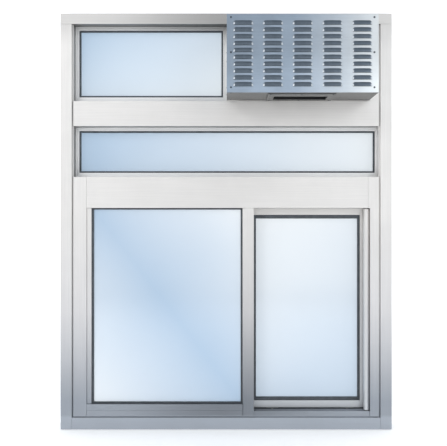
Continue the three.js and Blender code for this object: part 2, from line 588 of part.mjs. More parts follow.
function buildLatch() {
  const half = LATCH_CASE.width / 2;
  const [caseFront, caseBack] = [SASH_BACK + GAP, SASH_BACK + GAP + LATCH_CASE.depth];
  const shell = block(LATCH_X - half, LATCH_X + half, caseFront, caseBack,
    LATCH_HEIGHT - LATCH_CASE.below, LATCH_HEIGHT + LATCH_CASE.above);
  const pocket = block(LATCH_X - half + 2, LATCH_X + half + 1,
    LATCH_Y - HOOK_THICKNESS / 2 - GAP, LATCH_Y + HOOK_THICKNESS / 2 + GAP,
    LATCH_HEIGHT - 14, LATCH_HEIGHT + HOOK_LENGTH + 6);
  const spindleHole = rod("y", SPINDLE_RADIUS + 0.5, [LATCH_X, caseBack, LATCH_HEIGHT],
    LATCH_CASE.depth, 20);
  addPart(sash, "latch_case", "steel", shell.subtract(pocket).subtract(spindleHole));

  // Hook bolt: an arm with a nose that drops behind the strike plate once it has swung over.
  const arm = HOOK_WIDTH / 2;
  const hook = alongY([
    [LATCH_X - arm, LATCH_HEIGHT - arm],
    [LATCH_X + arm, LATCH_HEIGHT - arm],
    [LATCH_X + arm, LATCH_HEIGHT + HOOK_LENGTH - 8],
    [LATCH_X + arm + HOOK_NOSE, LATCH_HEIGHT + HOOK_LENGTH - 8],
    [LATCH_X + arm + HOOK_NOSE, LATCH_HEIGHT + HOOK_LENGTH - 3],
    [LATCH_X + arm, LATCH_HEIGHT + HOOK_LENGTH],
    [LATCH_X - arm, LATCH_HEIGHT + HOOK_LENGTH],
  ], LATCH_Y - HOOK_THICKNESS / 2, LATCH_Y + HOOK_THICKNESS / 2);
  addPart(sash, "hook_bolt", "steel", hook);

  const spindleStart = LATCH_Y + HOOK_THICKNESS / 2 + GAP;
  const spindleEnd = caseBack + GAP + 4;
  const spindle = rod("y", SPINDLE_RADIUS, [LATCH_X, (spindleStart + spindleEnd) / 2,
    LATCH_HEIGHT], spindleEnd - spindleStart, 20);
  const boss = rod("y", THUMB_RADIUS, [LATCH_X, caseBack + GAP + 2, LATCH_HEIGHT], 4, 28);
  const wing = block(LATCH_X - 2, LATCH_X + 2, caseBack + GAP + 3.5, BACK - 1,
    LATCH_HEIGHT - THUMB_LENGTH / 2, LATCH_HEIGHT + THUMB_LENGTH / 2);
  addPart(sash, "thumb_turn", "steel", spindle.add(boss).add(wing));

  const strikeX = SASH_SIDE_X - GAP - STRIKE_THICKNESS;
  const strike = block(strikeX, SASH_SIDE_X - GAP, LATCH_Y - 8, LATCH_Y + 8,
    LATCH_HEIGHT - 26, LATCH_HEIGHT + HOOK_LENGTH + 14);
  addPart(frame, "strike_plate", "steel", strike.subtract(hookSlot(strikeX - 1, 6, 0)));
}

// ---- Air curtain unit: casing -----------------------------------------------------
function buildCasing() {
  const [back, front] = [UNIT_BACK, PANEL_BACK + GAP];
  const edge = SHEET + GAP;
  // Top and both sides are one sheet, folded twice.
  const wrap = block(UNIT_LEFT, UNIT_RIGHT, front, back, UNIT_BOTTOM + edge, UNIT_TOP);
  const hollow = block(UNIT_LEFT + SHEET, UNIT_RIGHT - SHEET, front - 1, back + 1,
    UNIT_BOTTOM - 1, UNIT_TOP - SHEET);
  addPart(unit, "casing_wrap", "sheetMetal", wrap.subtract(hollow).subtract(switchHole()));

  const inner = { x0: UNIT_LEFT + edge, x1: UNIT_RIGHT - edge };
  const backPlate = block(inner.x0, inner.x1, back - SHEET, back,
    UNIT_BOTTOM + edge, UNIT_TOP - edge);
  addPart(unit, "back_plate", "sheetMetal", backPlate.subtract(conduitHole(GAP)));

  const neckRoom = block(NOZZLE_LEFT - GAP, NOZZLE_RIGHT + GAP, NOZZLE_FRONT - GAP,
    NOZZLE_BACK + GAP, UNIT_BOTTOM - 1, UNIT_BOTTOM + SHEET + 1);
  addPart(unit, "bottom_pan", "sheetMetal", block(
    UNIT_LEFT, UNIT_RIGHT, front, back, UNIT_BOTTOM, UNIT_BOTTOM + SHEET).subtract(neckRoom));

  addPart(unit, "intake_filter", "filterFoam", block(
    inner.x0 + 8, inner.x1 - 8, front, front + FILTER_THICKNESS,
    UNIT_BOTTOM + edge + 8, UNIT_TOP - edge - 8));
}

// Pressed hood over one slot: leans forward to a lip, closed at both ends, open below.
function louvreHood(x, length, z) {
  const profile = (wall) => [
    [PANEL_FRONT + 0.5, z + HOOD_TOP - wall], [PANEL_FRONT, z + HOOD_TOP - wall],
    [UNIT_FRONT + wall, z - HOOD_LIP - wall], [PANEL_FRONT + 0.5, z - HOOD_LIP - wall],
  ];
  const shell = alongX(profile(0), x, x + length);
  return shell.subtract(alongX(profile(HOOD_WALL), x + HOOD_WALL, x + length - HOOD_WALL));
}

// Front sheet with columns of slots, each under its hood.
function buildLouvrePanel() {
  const panel = block(UNIT_LEFT, UNIT_RIGHT, PANEL_FRONT, PANEL_BACK, UNIT_BOTTOM, UNIT_TOP);
  const columnPitch = (UNIT_WIDTH - 2 * LOUVRE_SIDE_MARGIN) / LOUVRE_COLUMNS;
  const rowPitch = (UNIT_HEIGHT - 2 * LOUVRE_END_MARGIN) / LOUVRE_ROWS;
  const length = columnPitch - LOUVRE_SPACE;
  const slots = [];
  const hoods = [];
  for (let column = 0; column < LOUVRE_COLUMNS; column += 1) {
    for (let row = 0; row < LOUVRE_ROWS; row += 1) {
      const x = UNIT_LEFT + LOUVRE_SIDE_MARGIN + (column + 0.5) * columnPitch - length / 2;
      const z = UNIT_BOTTOM + LOUVRE_END_MARGIN + (row + 0.5) * rowPitch;
      slots.push(block(x + HOOD_WALL, x + length - HOOD_WALL, PANEL_FRONT - 1, PANEL_BACK + 1,
        z - LOUVRE_BELOW, z - LOUVRE_BELOW + LOUVRE_SLOT));
      hoods.push(louvreHood(x, length, z));
    }
  }
  const join = (shapes) => shapes.reduce((all, shape) => all.add(shape));
  addPart(unit, "louvre_panel", "sheetMetal", panel.subtract(join(slots)).add(join(hoods)));
}

function conduitHole(grow) {
  return rod("y", CONDUIT_RADIUS + grow, [CONDUIT_X, FRONT, CONDUIT_Z], 60, 24);
}

function buildInfillAndConduit() {
  const panelBack = FRONT + 4 + INFILL_THICKNESS;
  addPart(frame, "infill_panel", "anodised", block(
    TRANSOM_MULLION_X + MULLION_FACE + GAP, JAMB_INNER - GAP, FRONT + 4, panelBack,
    UPPER_RAIL_TOP + GAP, HEAD_BOTTOM - GAP).subtract(conduitHole(GAP)));
  // Flanged bushing through the back plate and the infill, where the supply wires come in.
  const inside = UNIT_BACK - SHEET - GAP;
  const barrel = rod("y", CONDUIT_RADIUS, [CONDUIT_X, (inside + panelBack) / 2, CONDUIT_Z],
    panelBack - inside + 2, 24);
  const flange = rod("y", CONDUIT_RADIUS + 4, [CONDUIT_X, inside - 2, CONDUIT_Z], 4, 24);
  const bore = rod("y", CONDUIT_RADIUS - 3, [CONDUIT_X, FRONT, CONDUIT_Z], 80, 24);
  addPart(unit, "conduit_bushing", "darkPlastic", barrel.add(flange).subtract(bore));
}

// ---- Air curtain unit: nozzle and blower --------------------------------------------
function buildNozzle() {
  const plate = block(
    NOZZLE_LEFT - FLANGE_MARGIN.side, NOZZLE_RIGHT + FLANGE_MARGIN.side,
    NOZZLE_FRONT - FLANGE_MARGIN.front, NOZZLE_BACK + FLANGE_MARGIN.back,
    UNIT_BOTTOM - GAP - FLANGE_THICKNESS, UNIT_BOTTOM - GAP);
  const neck = block(NOZZLE_LEFT, NOZZLE_RIGHT, NOZZLE_FRONT, NOZZLE_BACK,
    UNIT_BOTTOM - GAP - FLANGE_THICKNESS, NECK_TOP);
  const opening = block(NOZZLE_LEFT + SHEET, NOZZLE_RIGHT - SHEET, NOZZLE_FRONT + SHEET,
    NOZZLE_BACK - SHEET, UNIT_BOTTOM - 20, NECK_TOP + 1);
  const vaneY = (NOZZLE_FRONT + NOZZLE_BACK) / 2;
  const vaneZ = (UNIT_BOTTOM + NECK_TOP) / 2;
  const middle = [UNIT_MIDDLE, vaneY, vaneZ];
  const pinHoles = rod("x", VANE_PIN + GAP, middle, NOZZLE_WIDTH + 10, 20);
  addPart(unit, "nozzle_flange", "sheetMetal",
    plate.add(neck).subtract(opening).subtract(pinHoles));

  // Vane that steers the air stream, on a pin at each end.
  const half = NOZZLE_WIDTH / 2 - SHEET - 1;
  const blade = block(UNIT_MIDDLE - half, UNIT_MIDDLE + half, vaneY - VANE_THICKNESS / 2,
    vaneY + VANE_THICKNESS / 2, vaneZ - VANE_CHORD / 2, vaneZ + VANE_CHORD / 2);
  const pins = rod("x", VANE_PIN, middle, NOZZLE_WIDTH, 20);
  addPart(unit, "air_vane", "sheetMetal", blade.add(pins));
}

// Side view of the scroll: a spiral round the wheel that opens into a duct running down.
function scrollOutline(inset, bottom) {
  const points = [];
  const steps = 27;
  for (let i = 0; i <= steps; i += 1) {
    const part = i / steps;
    const turn = part * Math.PI * 1.5;
    const radius = SCROLL_START_RADIUS + SCROLL_GROWTH * part - inset;
    points.push([SCROLL_Y - radius * Math.sin(turn), SCROLL_Z - radius * Math.cos(turn)]);
  }
  points.push([NOZZLE_BACK - inset, bottom]);
  points.push([NOZZLE_FRONT + inset, bottom]);
  return points.reverse();
}

function buildScroll() {
  const bottom = NECK_TOP + GAP;
  const shell = alongX(scrollOutline(0, bottom), NOZZLE_LEFT, NOZZLE_RIGHT);
  const hollow = alongX(scrollOutline(SCROLL_WALL, bottom - 1),
    NOZZLE_LEFT + SCROLL_WALL, NOZZLE_RIGHT - SCROLL_WALL);
  const inlets = rod("x", SCROLL_START_RADIUS - INLET_MARGIN,
    [UNIT_MIDDLE, SCROLL_Y, SCROLL_Z], NOZZLE_WIDTH + 20, 40);
  addPart(unit, "scroll_housing", "sheetMetal", shell.subtract(hollow).subtract(inlets));
}

function buildBlower() {
  const outer = SCROLL_START_RADIUS - WHEEL_CLEARANCE;
  const inner = outer - BLADE_DEPTH;
  const half = NOZZLE_WIDTH / 2 - SCROLL_WALL - WHEEL_SIDE_CLEARANCE;
  const centre = (x) => [x, SCROLL_Y, SCROLL_Z];
  const hubRadius = SHAFT_RADIUS + 9;
  let wheel = rod("x", hubRadius, centre(UNIT_MIDDLE), 30, 24)
    .add(rod("x", outer, centre(UNIT_MIDDLE), 3, 40));
  for (const side of [-1, 1]) {
    const x = UNIT_MIDDLE + side * (half - 2);
    const endRing = rod("x", outer, centre(x), 4, 40);
    wheel = wheel.add(endRing.subtract(rod("x", inner, centre(x), 6, 40)));
  }
  for (let i = 0; i < WHEEL_BLADES; i += 1) {
    const blade = new THREE.BoxGeometry(2 * half, BLADE_DEPTH - 1, 1.5);
    blade.rotateX(0.6).translate(0, (outer + inner) / 2, 0);
    blade.rotateX((i / WHEEL_BLADES) * Math.PI * 2).translate(...centre(UNIT_MIDDLE));
    wheel = wheel.add(solid(blade));
  }
  const bore = rod("x", SHAFT_RADIUS + GAP, centre(UNIT_MIDDLE), 60, 24);
  addPart(unit, "blower_wheel", "steel", wheel.subtract(bore));

  const motorLeft = NOZZLE_RIGHT + MOTOR_OFFSET;
  const bearingLeft = NOZZLE_LEFT - 32;
  const shaftLeft = bearingLeft - 4;
  const shaftRight = motorLeft + 30;
  addPart(unit, "blower_shaft", "steel",
    rod("x", SHAFT_RADIUS, centre((shaftLeft + shaftRight) / 2), shaftRight - shaftLeft, 24));

  const motor = new THREE.LatheGeometry([
    [0, 0], [16, 0], [18, 6], [MOTOR_RADIUS - 6, 8], [MOTOR_RADIUS, 16],
    [MOTOR_RADIUS, MOTOR_LENGTH - 8], [MOTOR_RADIUS - 8, MOTOR_LENGTH], [0, MOTOR_LENGTH],
  ].map(([r, along]) => new THREE.Vector2(r, along)), 36);
  motor.rotateZ(-Math.PI / 2).translate(motorLeft, SCROLL_Y, SCROLL_Z);
  const motorBore = rod("x", SHAFT_RADIUS + GAP, centre(motorLeft), 66, 24);
  addPart(unit, "motor_body", "motorPaint", solid(motor).subtract(motorBore));

  // Shelf bolted to the back plate, with a saddle that carries the motor.
  const wallFace = UNIT_BACK - SHEET - GAP;
  const shelfTop = SCROLL_Z - MOTOR_RADIUS - 6;
  const [x0, x1] = [motorLeft + 26, motorLeft + MOTOR_LENGTH - 16];
  const shelf = block(x0, x1, SCROLL_Y - 34, wallFace, shelfTop - 4, shelfTop);
  const upright = block(x0, x1, wallFace - 4, wallFace, shelfTop - 40, shelfTop);
  const saddle = block(x0, x1, SCROLL_Y - 34, SCROLL_Y + 34, shelfTop - 1, shelfTop + 22);
  const motorRoom = rod("x", MOTOR_RADIUS + GAP, centre((x0 + x1) / 2), MOTOR_LENGTH, 36);
  addPart(unit, "motor_cradle", "sheetMetal",
    shelf.add(upright).add(saddle.subtract(motorRoom)));

  // Pillow block on a bracket, at the other end of the shaft.
  const [b0, b1] = [bearingLeft, bearingLeft + 20];
  const pillow = block(b0, b1, SCROLL_Y - 20, SCROLL_Y + 20, SCROLL_Z - 34, SCROLL_Z + 16);
  const foot = block(b0, b1, SCROLL_Y - 20, wallFace, SCROLL_Z - 38, SCROLL_Z - 33);
  const heel = block(b0, b1, wallFace - 4, wallFace, SCROLL_Z - 70, SCROLL_Z - 33);
  const seat = rod("x", SHAFT_RADIUS + GAP, centre(b0 + 10), 40, 24);
  addPart(unit, "bearing_bracket", "steel", pillow.add(foot).add(heel).subtract(seat));
}

// ---- Air curtain unit: electrics ------------------------------------------------------
const SWITCH = { y: FRONT - 70, z: UNIT_BOTTOM + 45, width: 15, height: 27, bezel: 4 };

function switchHole() {
  return block(UNIT_RIGHT - 10, UNIT_RIGHT + 10,
    SWITCH.y - SWITCH.width / 2 - 2, SWITCH.y + SWITCH.width / 2 + 2,
    SWITCH.z - SWITCH.height / 2 - 2, SWITCH.z + SWITCH.height / 2 + 2);
}

function buildElectrics() {
  const wallFace = UNIT_BACK - SHEET - GAP;
  const can = new THREE.LatheGeometry([
    [0, 0], [18, 0], [18, 58], [16, 60], [7, 60], [7, 66], [0, 66],
  ].map(([r, along]) => new THREE.Vector2(r, along)), 28);
  can.rotateZ(-Math.PI / 2).translate(UNIT_LEFT + 24, wallFace - 19, UNIT_BOTTOM + 32);
  addPart(unit, "run_capacitor", "sheetMetal", solid(can));

  const boxFront = wallFace - 48;
  const box = block(CONDUIT_X - 38, CONDUIT_X + 38, boxFront, wallFace - 5,
    CONDUIT_Z - 34, CONDUIT_Z + 34);
  const boxRoom = block(CONDUIT_X - 36, CONDUIT_X + 36, boxFront - 1, wallFace - 7,
    CONDUIT_Z - 32, CONDUIT_Z + 32);
  addPart(unit, "junction_box", "steel", box.subtract(boxRoom)
    .subtract(rod("y", CONDUIT_RADIUS - 3, [CONDUIT_X, wallFace - 6, CONDUIT_Z], 10, 24)));

  // Rocker switch through the right side of the casing.
  const { y, z, width, height, bezel } = SWITCH;
  const bezelX = UNIT_RIGHT + GAP;
  const body = block(UNIT_RIGHT - 24, bezelX + 2, y - width / 2 - 1.5, y + width / 2 + 1.5,
    z - height / 2 - 1.5, z + height / 2 + 1.5);
  const rim = block(bezelX, bezelX + 2, y - width / 2 - bezel, y + width / 2 + bezel,
    z - height / 2 - bezel, z + height / 2 + bezel);
  const well = block(UNIT_RIGHT - 16, bezelX + 3, y - width / 2, y + width / 2,
    z - height / 2, z + height / 2);
  addPart(unit, "switch_body", "darkPlastic", body.add(rim).subtract(well));
  const pivotX = UNIT_RIGHT - 3;
  const rocker = alongY([
    [-6, -8], [-6, 8], [3, 12], [7, 12], [4.5, 0], [7, -12], [3, -12],
  ], -width / 2 + 0.6, width / 2 - 0.6);
  const rest = 10; // degrees that the rocker leans at rest
  addPart(unit, "switch_rocker", "darkPlastic",
    rocker.rotate([0, rest, 0]).translate([pivotX, y, z]));
}

buildOuterFrame();
buildRails();
buildInnerJambs();
buildMeetingMullion();
buildTracks();
buildUpperGlazing();
buildFixedLite();
buildInfillAndConduit();
buildSashFrame();
buildSashGlazing();
buildPull();
buildSashRunning();
buildLatch();
buildCasing();
buildLouvrePanel();
buildNozzle();
buildScroll();
buildBlower();
buildElectrics();

export default assembly;
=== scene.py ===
# Aluminium service window with a sliding sash and an air curtain unit in its transom.
# Metres, +Z up. X runs along the window and -Y is the outdoor side.

import math

import bpy
from mathutils import Matrix, Vector


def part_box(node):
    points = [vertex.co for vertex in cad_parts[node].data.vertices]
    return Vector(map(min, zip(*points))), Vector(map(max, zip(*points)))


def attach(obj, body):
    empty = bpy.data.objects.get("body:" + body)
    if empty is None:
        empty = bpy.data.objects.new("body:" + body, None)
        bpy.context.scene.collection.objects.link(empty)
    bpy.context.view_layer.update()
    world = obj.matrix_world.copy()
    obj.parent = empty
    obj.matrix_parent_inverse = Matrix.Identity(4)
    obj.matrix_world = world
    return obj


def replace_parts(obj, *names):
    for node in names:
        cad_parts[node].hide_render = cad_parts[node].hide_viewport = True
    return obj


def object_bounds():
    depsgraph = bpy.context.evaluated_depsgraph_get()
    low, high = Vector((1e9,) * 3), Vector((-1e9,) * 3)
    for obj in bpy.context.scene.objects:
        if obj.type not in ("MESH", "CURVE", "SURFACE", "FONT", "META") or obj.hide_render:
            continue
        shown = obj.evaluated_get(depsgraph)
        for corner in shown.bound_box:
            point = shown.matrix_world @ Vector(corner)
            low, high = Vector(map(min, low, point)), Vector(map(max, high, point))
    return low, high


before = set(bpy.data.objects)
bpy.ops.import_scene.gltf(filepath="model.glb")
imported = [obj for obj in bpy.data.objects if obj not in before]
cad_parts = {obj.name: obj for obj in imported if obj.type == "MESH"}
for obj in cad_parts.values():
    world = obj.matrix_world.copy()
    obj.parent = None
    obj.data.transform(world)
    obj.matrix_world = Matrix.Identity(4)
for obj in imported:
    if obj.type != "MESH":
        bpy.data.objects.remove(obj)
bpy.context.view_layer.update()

MM = 0.001


# ---- Camera -----------------------------------------------------------------
# Level, straight in front of the window and at half its height.
VIEW_DISTANCE = 3.564
LENS = 78.8
SENSOR_WIDTH = 36
SIDE_SHIFT = -0.0059
HEIGHT_SHIFT = -0.0034
low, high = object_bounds()
front_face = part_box("frame_head")[0].y
camera_data = bpy.data.cameras.new("camera")
camera_data.lens = LENS
camera_data.sensor_width = SENSOR_WIDTH
camera_data.shift_x = SIDE_SHIFT
camera_data.shift_y = HEIGHT_SHIFT
camera = bpy.data.objects.new("camera", camera_data)
camera.location = ((low.x + high.x) / 2, front_face - VIEW_DISTANCE, (low.z + high.z) / 2)
camera.rotation_euler = (math.pi / 2, 0, 0)
bpy.context.scene.collection.objects.link(camera)
bpy.context.scene.camera = camera


# ---- Studio -----------------------------------------------------------------
# A pale floor, a pale wall just behind the window that hides nothing from the back,
# a sky that is bright at the horizon and dim overhead, and soft lights.
STAGE_SIZE = 14
STAGE_GREY = (0.92, 0.92, 0.92, 1)
STAGE_GLOW = 0.36
FLOOR_DROP = 1 * MM
WALL_GAP = 12 * MM
HORIZON = (0.96, 0.98, 1.0, 1)
ZENITH = (0.30, 0.34, 0.38, 1)
ZENITH_RISE = 0.75


def stage_material(name):
    material = bpy.data.materials.new(name)
    material.use_nodes = True
    shader = material.node_tree.nodes["Principled BSDF"]
    shader.inputs["Base Color"].default_value = STAGE_GREY
    shader.inputs["Roughness"].default_value = 0.9
    shader.inputs["Emission Color"].default_value = (1, 1, 1, 1)
    shader.inputs["Emission Strength"].default_value = STAGE_GLOW
    return material


def stage_plane(name, place, turn):
    bpy.ops.mesh.primitive_plane_add(size=STAGE_SIZE, location=place, rotation=turn)
    plane = bpy.context.object
    plane.name = name
    plane.data.materials.append(stage_material(name))
    return plane


stage_plane("floor", (0, 0, -FLOOR_DROP), (0, 0, 0))
wall = stage_plane("wall", (0, high.y + WALL_GAP, 0), (math.pi / 2, 0, 0))
wall_nodes = wall.data.materials[0].node_tree
side = wall_nodes.nodes.new("ShaderNodeNewGeometry")
clear = wall_nodes.nodes.new("ShaderNodeBsdfTransparent")
choose = wall_nodes.nodes.new("ShaderNodeMixShader")
wall_nodes.links.new(side.outputs["Backfacing"], choose.inputs["Fac"])
wall_nodes.links.new(wall_nodes.nodes["Principled BSDF"].outputs[0], choose.inputs[1])
wall_nodes.links.new(clear.outputs[0], choose.inputs[2])
wall_nodes.links.new(choose.outputs[0], wall_nodes.nodes["Material Output"].inputs["Surface"])

world = bpy.data.worlds.new("studio")
world.use_nodes = True
sky = world.node_tree
sky_direction = sky.nodes.new("ShaderNodeTexCoord").outputs["Generated"]
sky_split = sky.nodes.new("ShaderNodeSeparateXYZ")
sky.links.new(sky_direction, sky_split.inputs[0])
sky_ramp = sky.nodes.new("ShaderNodeValToRGB")
sky.links.new(sky_split.outputs["Z"], sky_ramp.inputs[0])
sky_ramp.color_ramp.elements[0].position = 0.0
sky_ramp.color_ramp.elements[0].color = HORIZON
sky_ramp.color_ramp.elements[1].position = ZENITH_RISE
sky_ramp.color_ramp.elements[1].color = ZENITH
sky.links.new(sky_ramp.outputs[0], sky.nodes["Background"].inputs["Color"])
sky.nodes["Background"].inputs["Strength"].default_value = 1.0
bpy.context.scene.world = world


def soft_light(name, power, size, place, target, colour=(1, 1, 1)):
    data = bpy.data.lights.new(name, "AREA")
    data.energy = power
    data.size = size
    data.color = colour
    light = bpy.data.objects.new(name, data)
    light.location = place
    light.rotation_euler = (Vector(target) - Vector(place)).to_track_quat("-Z", "Y").to_euler()
    bpy.context.scene.collection.objects.link(light)


soft_light("key", 52, 1.7, (-3.0, -4.4, 3.4), (0, 0, 0.9))
soft_light("fill", 34, 1.7, (3.0, -4.4, 2.8), (0, 0, 0.7), (0.94, 0.97, 1))
soft_light("back", 50, 2.0, (1.5, 3.0, 2.6), (0, 0, 0.8))
bpy.context.scene.view_settings.view_transform = "Standard"


# ---- Outer frame ------------------------------------------------------------
# Head, two jambs and a sill: hollow aluminium extrusions, saw-cut square, screwed
# together at the corners and anodised satin silver. Fine die lines run along each one.
EDGE_BREAK = 0.5 * MM
SHARP = math.radians(40)
WELD = 0.01 * MM
FLAT = math.radians(0.5)


def pick(piece):
    bpy.ops.object.select_all(action="DESELECT")
    piece.select_set(True)
    bpy.context.view_layer.objects.active = piece


def copy_of(node, name):
    """The solid of one CAD part under its own name, welded and without its spare edges."""
    piece = bpy.data.objects.new(name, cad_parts[node].data.copy())
    bpy.context.scene.collection.objects.link(piece)
    pick(piece)
    if piece.data.has_custom_normals:
        bpy.ops.mesh.customdata_custom_splitnormals_clear()
    bpy.ops.object.mode_set(mode="EDIT")
    bpy.ops.mesh.select_all(action="SELECT")
    bpy.ops.mesh.remove_doubles(threshold=WELD)
    bpy.ops.mesh.dissolve_limited(angle_limit=FLAT)
    bpy.ops.object.mode_set(mode="OBJECT")
    return piece


def apply_modifier(piece, kind, **settings):
    pick(piece)
    modifier = piece.modifiers.new(kind.lower(), kind)
    for setting, value in settings.items():
        setattr(modifier, setting, value)
    bpy.ops.object.modifier_apply(modifier=modifier.name)


def break_edges(piece, width, steps=2):
    pick(piece)
    bpy.ops.object.shade_smooth()
    apply_modifier(piece, "BEVEL", width=width, segments=steps, limit_method="ANGLE",
                   angle_limit=SHARP, use_clamp_overlap=True, harden_normals=True)


def fit(piece, body, slot, material, *nodes):
    """Gives a finished piece its material and its place on a body, instead of CAD parts."""
    if len(piece.data.materials) < 2:
        piece.data.materials.clear()
        piece.data.materials.append(material)
    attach(piece, body)
    if nodes:
        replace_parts(piece, *nodes)
    return piece


def finished(node, name, body, slot, material, edge=EDGE_BREAK, steps=2):
    piece = copy_of(node, name)
    break_edges(piece, edge, steps)
    return fit(piece, body, slot, material, node)


def add_node(material, kind, sockets=None, **settings):
    made = material.node_tree.nodes.new("ShaderNode" + kind)
    for setting, value in settings.items():
        setattr(made, setting, value)
    for socket, value in (sockets or {}).items():
        if isinstance(value, bpy.types.NodeSocket):
            material.node_tree.links.new(value, made.inputs[socket])
        else:
            made.inputs[socket].default_value = value
    return made


def new_material(name, metallic, roughness):
    material = bpy.data.materials.new(name)
    material.use_nodes = True
    shader = material.node_tree.nodes["Principled BSDF"]
    shader.inputs["Metallic"].default_value = metallic
    shader.inputs["Roughness"].default_value = roughness
    return material, shader, add_node(material, "TexCoord").outputs["Object"]


def spread(material, value, low_in, high_in, low_out, high_out, curve="LINEAR"):
    return add_node(material, "MapRange", {
        "Value": value, "From Min": low_in, "From Max": high_in,
        "To Min": low_out, "To Max": high_out}, interpolation_type=curve).outputs["Result"]


def reckon(material, operation, first, second=0.0):
    return add_node(material, "Math", {0: first, 1: second}, operation=operation).outputs[0]


def mix_colours(material, factor, first, second, mode="MIX"):
    return add_node(material, "Mix", {0: factor, 6: first, 7: second},
                    data_type="RGBA", blend_type=mode).outputs[2]


def noise(material, place, scale, detail=3.0, stretch=(1, 1, 1)):
    if tuple(stretch) != (1, 1, 1):
        place = add_node(material, "Mapping", {"Vector": place, "Scale": stretch}).outputs[0]
    return add_node(material, "TexNoise", {
        "Vector": place, "Scale": scale, "Detail": detail}).outputs["Fac"]


def use_bump(material, shader, height, strength, distance):
    bump = add_node(material, "Bump", {
        "Height": height, "Strength": strength, "Distance": distance})
    material.node_tree.links.new(bump.outputs[0], shader.inputs["Normal"])


def link(material, output, shader, socket):
    material.node_tree.links.new(output, shader.inputs[socket])


# Painted light and shade of the frame: a lit pale tone high up, a half-shaded tone between and a
# shaded bluer tone low down.
PALE_ANODISE = (0.81, 0.785, 0.76, 1)
MID_ANODISE = (0.70, 0.685, 0.685, 1)
DEEP_ANODISE = (0.335, 0.36, 0.40, 1)
DEEP_HEIGHT = 0.10
PALE_HEIGHT = 0.78
MID_SHARE = 0.48
MIDDLE_REACH = 0.46
HOLLOW_HEIGHT = 0.62
HOLLOW_LEAST = 0.08
SILL_EDGE = (0.042, 0.054)
SILL_LIFT = 1.2
CROWN_HEIGHTS = (1.38, 1.49)
CROWN_DIM = (0.20, 0.44)
ACROSS_LINES = 900.0
ALONG_LINES = 5.0


def frame_tone(material, place, deepest=DEEP_ANODISE, middling=MID_ANODISE,
               palest=PALE_ANODISE, hollow=0.38):
    """Satin silver with painted light and shade: lit pale high up, painted shade bluer towards the
    sill and the middle, painted shade across the middle of the head and painted light on the sill.
    """
    split = add_node(material, "SeparateXYZ", {0: place})
    rise = spread(material, split.outputs["Z"], DEEP_HEIGHT, PALE_HEIGHT, 0.0, 1.0)
    ramp = add_node(material, "ValToRGB", {0: rise})
    elements = ramp.color_ramp.elements
    elements[0].color = deepest
    elements[1].color = palest
    elements.new(MID_SHARE).color = middling
    # Painted shade towards the middle, deepest low down; painted light on the sill; painted shade
    # across the middle of the head.
    aside = reckon(material, "ABSOLUTE", split.outputs["X"])
    middle = spread(material, aside, 0.0, MIDDLE_REACH, 1.0, 0.0, "SMOOTHSTEP")
    depth = spread(material, split.outputs["Z"], DEEP_HEIGHT, HOLLOW_HEIGHT, hollow,
                   HOLLOW_LEAST)
    above_sill = spread(material, split.outputs["Z"], *SILL_EDGE, 0.0, 1.0)
    sunk = reckon(material, "MULTIPLY", middle, reckon(material, "MULTIPLY", depth, above_sill))
    sill_lift = spread(material, above_sill, 0.0, 1.0, SILL_LIFT, 1.0)
    keep = reckon(material, "MULTIPLY", sill_lift, reckon(material, "SUBTRACT", 1.0, sunk))
    crown = spread(material, split.outputs["Z"], *CROWN_HEIGHTS, 0.0, 1.0, "SMOOTHSTEP")
    dim = spread(material, middle, 0.0, 1.0, *CROWN_DIM)
    top = reckon(material, "SUBTRACT", 1.0, reckon(material, "MULTIPLY", crown, dim))
    return mix_colours(material, 1.0, ramp.outputs[0],
                       reckon(material, "MULTIPLY", keep, top), "MULTIPLY")


def anodised(name, run, metallic=0.55, **tones):
    """Satin anodised aluminium whose die lines follow one axis; its base colour carries painted
    light and shade.
    """
    material, shader, place = new_material(name, metallic, 0.4)
    stretch = [ALONG_LINES if axis == run else ACROSS_LINES for axis in "XYZ"]
    lines = noise(material, place, 1.0, 2.0, stretch)
    cloud = noise(material, place, 7.0, 3.0)
    streak = spread(material, lines, 0.3, 0.7, 0.955, 1.03)
    patch = spread(material, cloud, 0.3, 0.7, 0.975, 1.02)
    grain = reckon(material, "MULTIPLY", streak, patch)
    # Painted light and shade, multiplied by the real die-line grain.
    tone = frame_tone(material, place, **tones)
    link(material, mix_colours(material, 1.0, tone, grain, "MULTIPLY"), shader, "Base Color")
    link(material, spread(material, lines, 0.3, 0.7, 0.34, 0.46), shader, "Roughness")
    use_bump(material, shader, lines, 0.12, 0.05 * MM)
    return material


across_anodised = anodised("anodised_across", "X")
upright_anodised = anodised("anodised_upright", "Z")
# A darker copy of the frame material: painted shade for reveal faces turned away from the light.
reveal_anodised = anodised("anodised_reveal", "Z", 0.75, palest=(0.27, 0.265, 0.26, 1),
                           middling=(0.24, 0.24, 0.245, 1), deepest=(0.16, 0.17, 0.19, 1))


def dull_reveal(bar, facing):
    """Gives the faces that look one way a darker copy of the frame material: painted shade on a
    glazing reveal.
    """
    bar.data.materials.append(reveal_anodised)
    for face in bar.data.polygons:
        if face.normal.dot(Vector(facing)) > 0.95:
            face.material_index = 1


# Painted shade on the underside of the head and the inner face of the left jamb.
head_bar = finished("frame_head", "head_bar", "frame", "anodised_frame", across_anodised)
dull_reveal(head_bar, (0, 0, -1))
left_bar = finished("left_jamb", "left_jamb_bar", "frame", "anodised_frame", upright_anodised)
dull_reveal(left_bar, (1, 0, 0))
finished("right_jamb", "right_jamb_bar", "frame", "anodised_frame", upright_anodised)
finished("sill", "sill_bar", "frame", "anodised_frame", across_anodised)

# The head runs over both jambs, and a thin plate closes each of its open ends.
BAR_WALL = 3.2 * MM
END_PLATE = 1.4 * MM
END_PLATE_INSET = 0.6 * MM
END_PLATE_EDGE = 1.05 * BAR_WALL


def slab(name, start, end):
    """A plain block between two opposite corners."""
    bpy.ops.object.select_all(action="DESELECT")
    bpy.ops.mesh.primitive_cube_add(size=1, location=(start + end) / 2, scale=end - start)
    made = bpy.context.object
    bpy.ops.object.transform_apply(location=True, rotation=True, scale=True)
    made.name = name
    return made


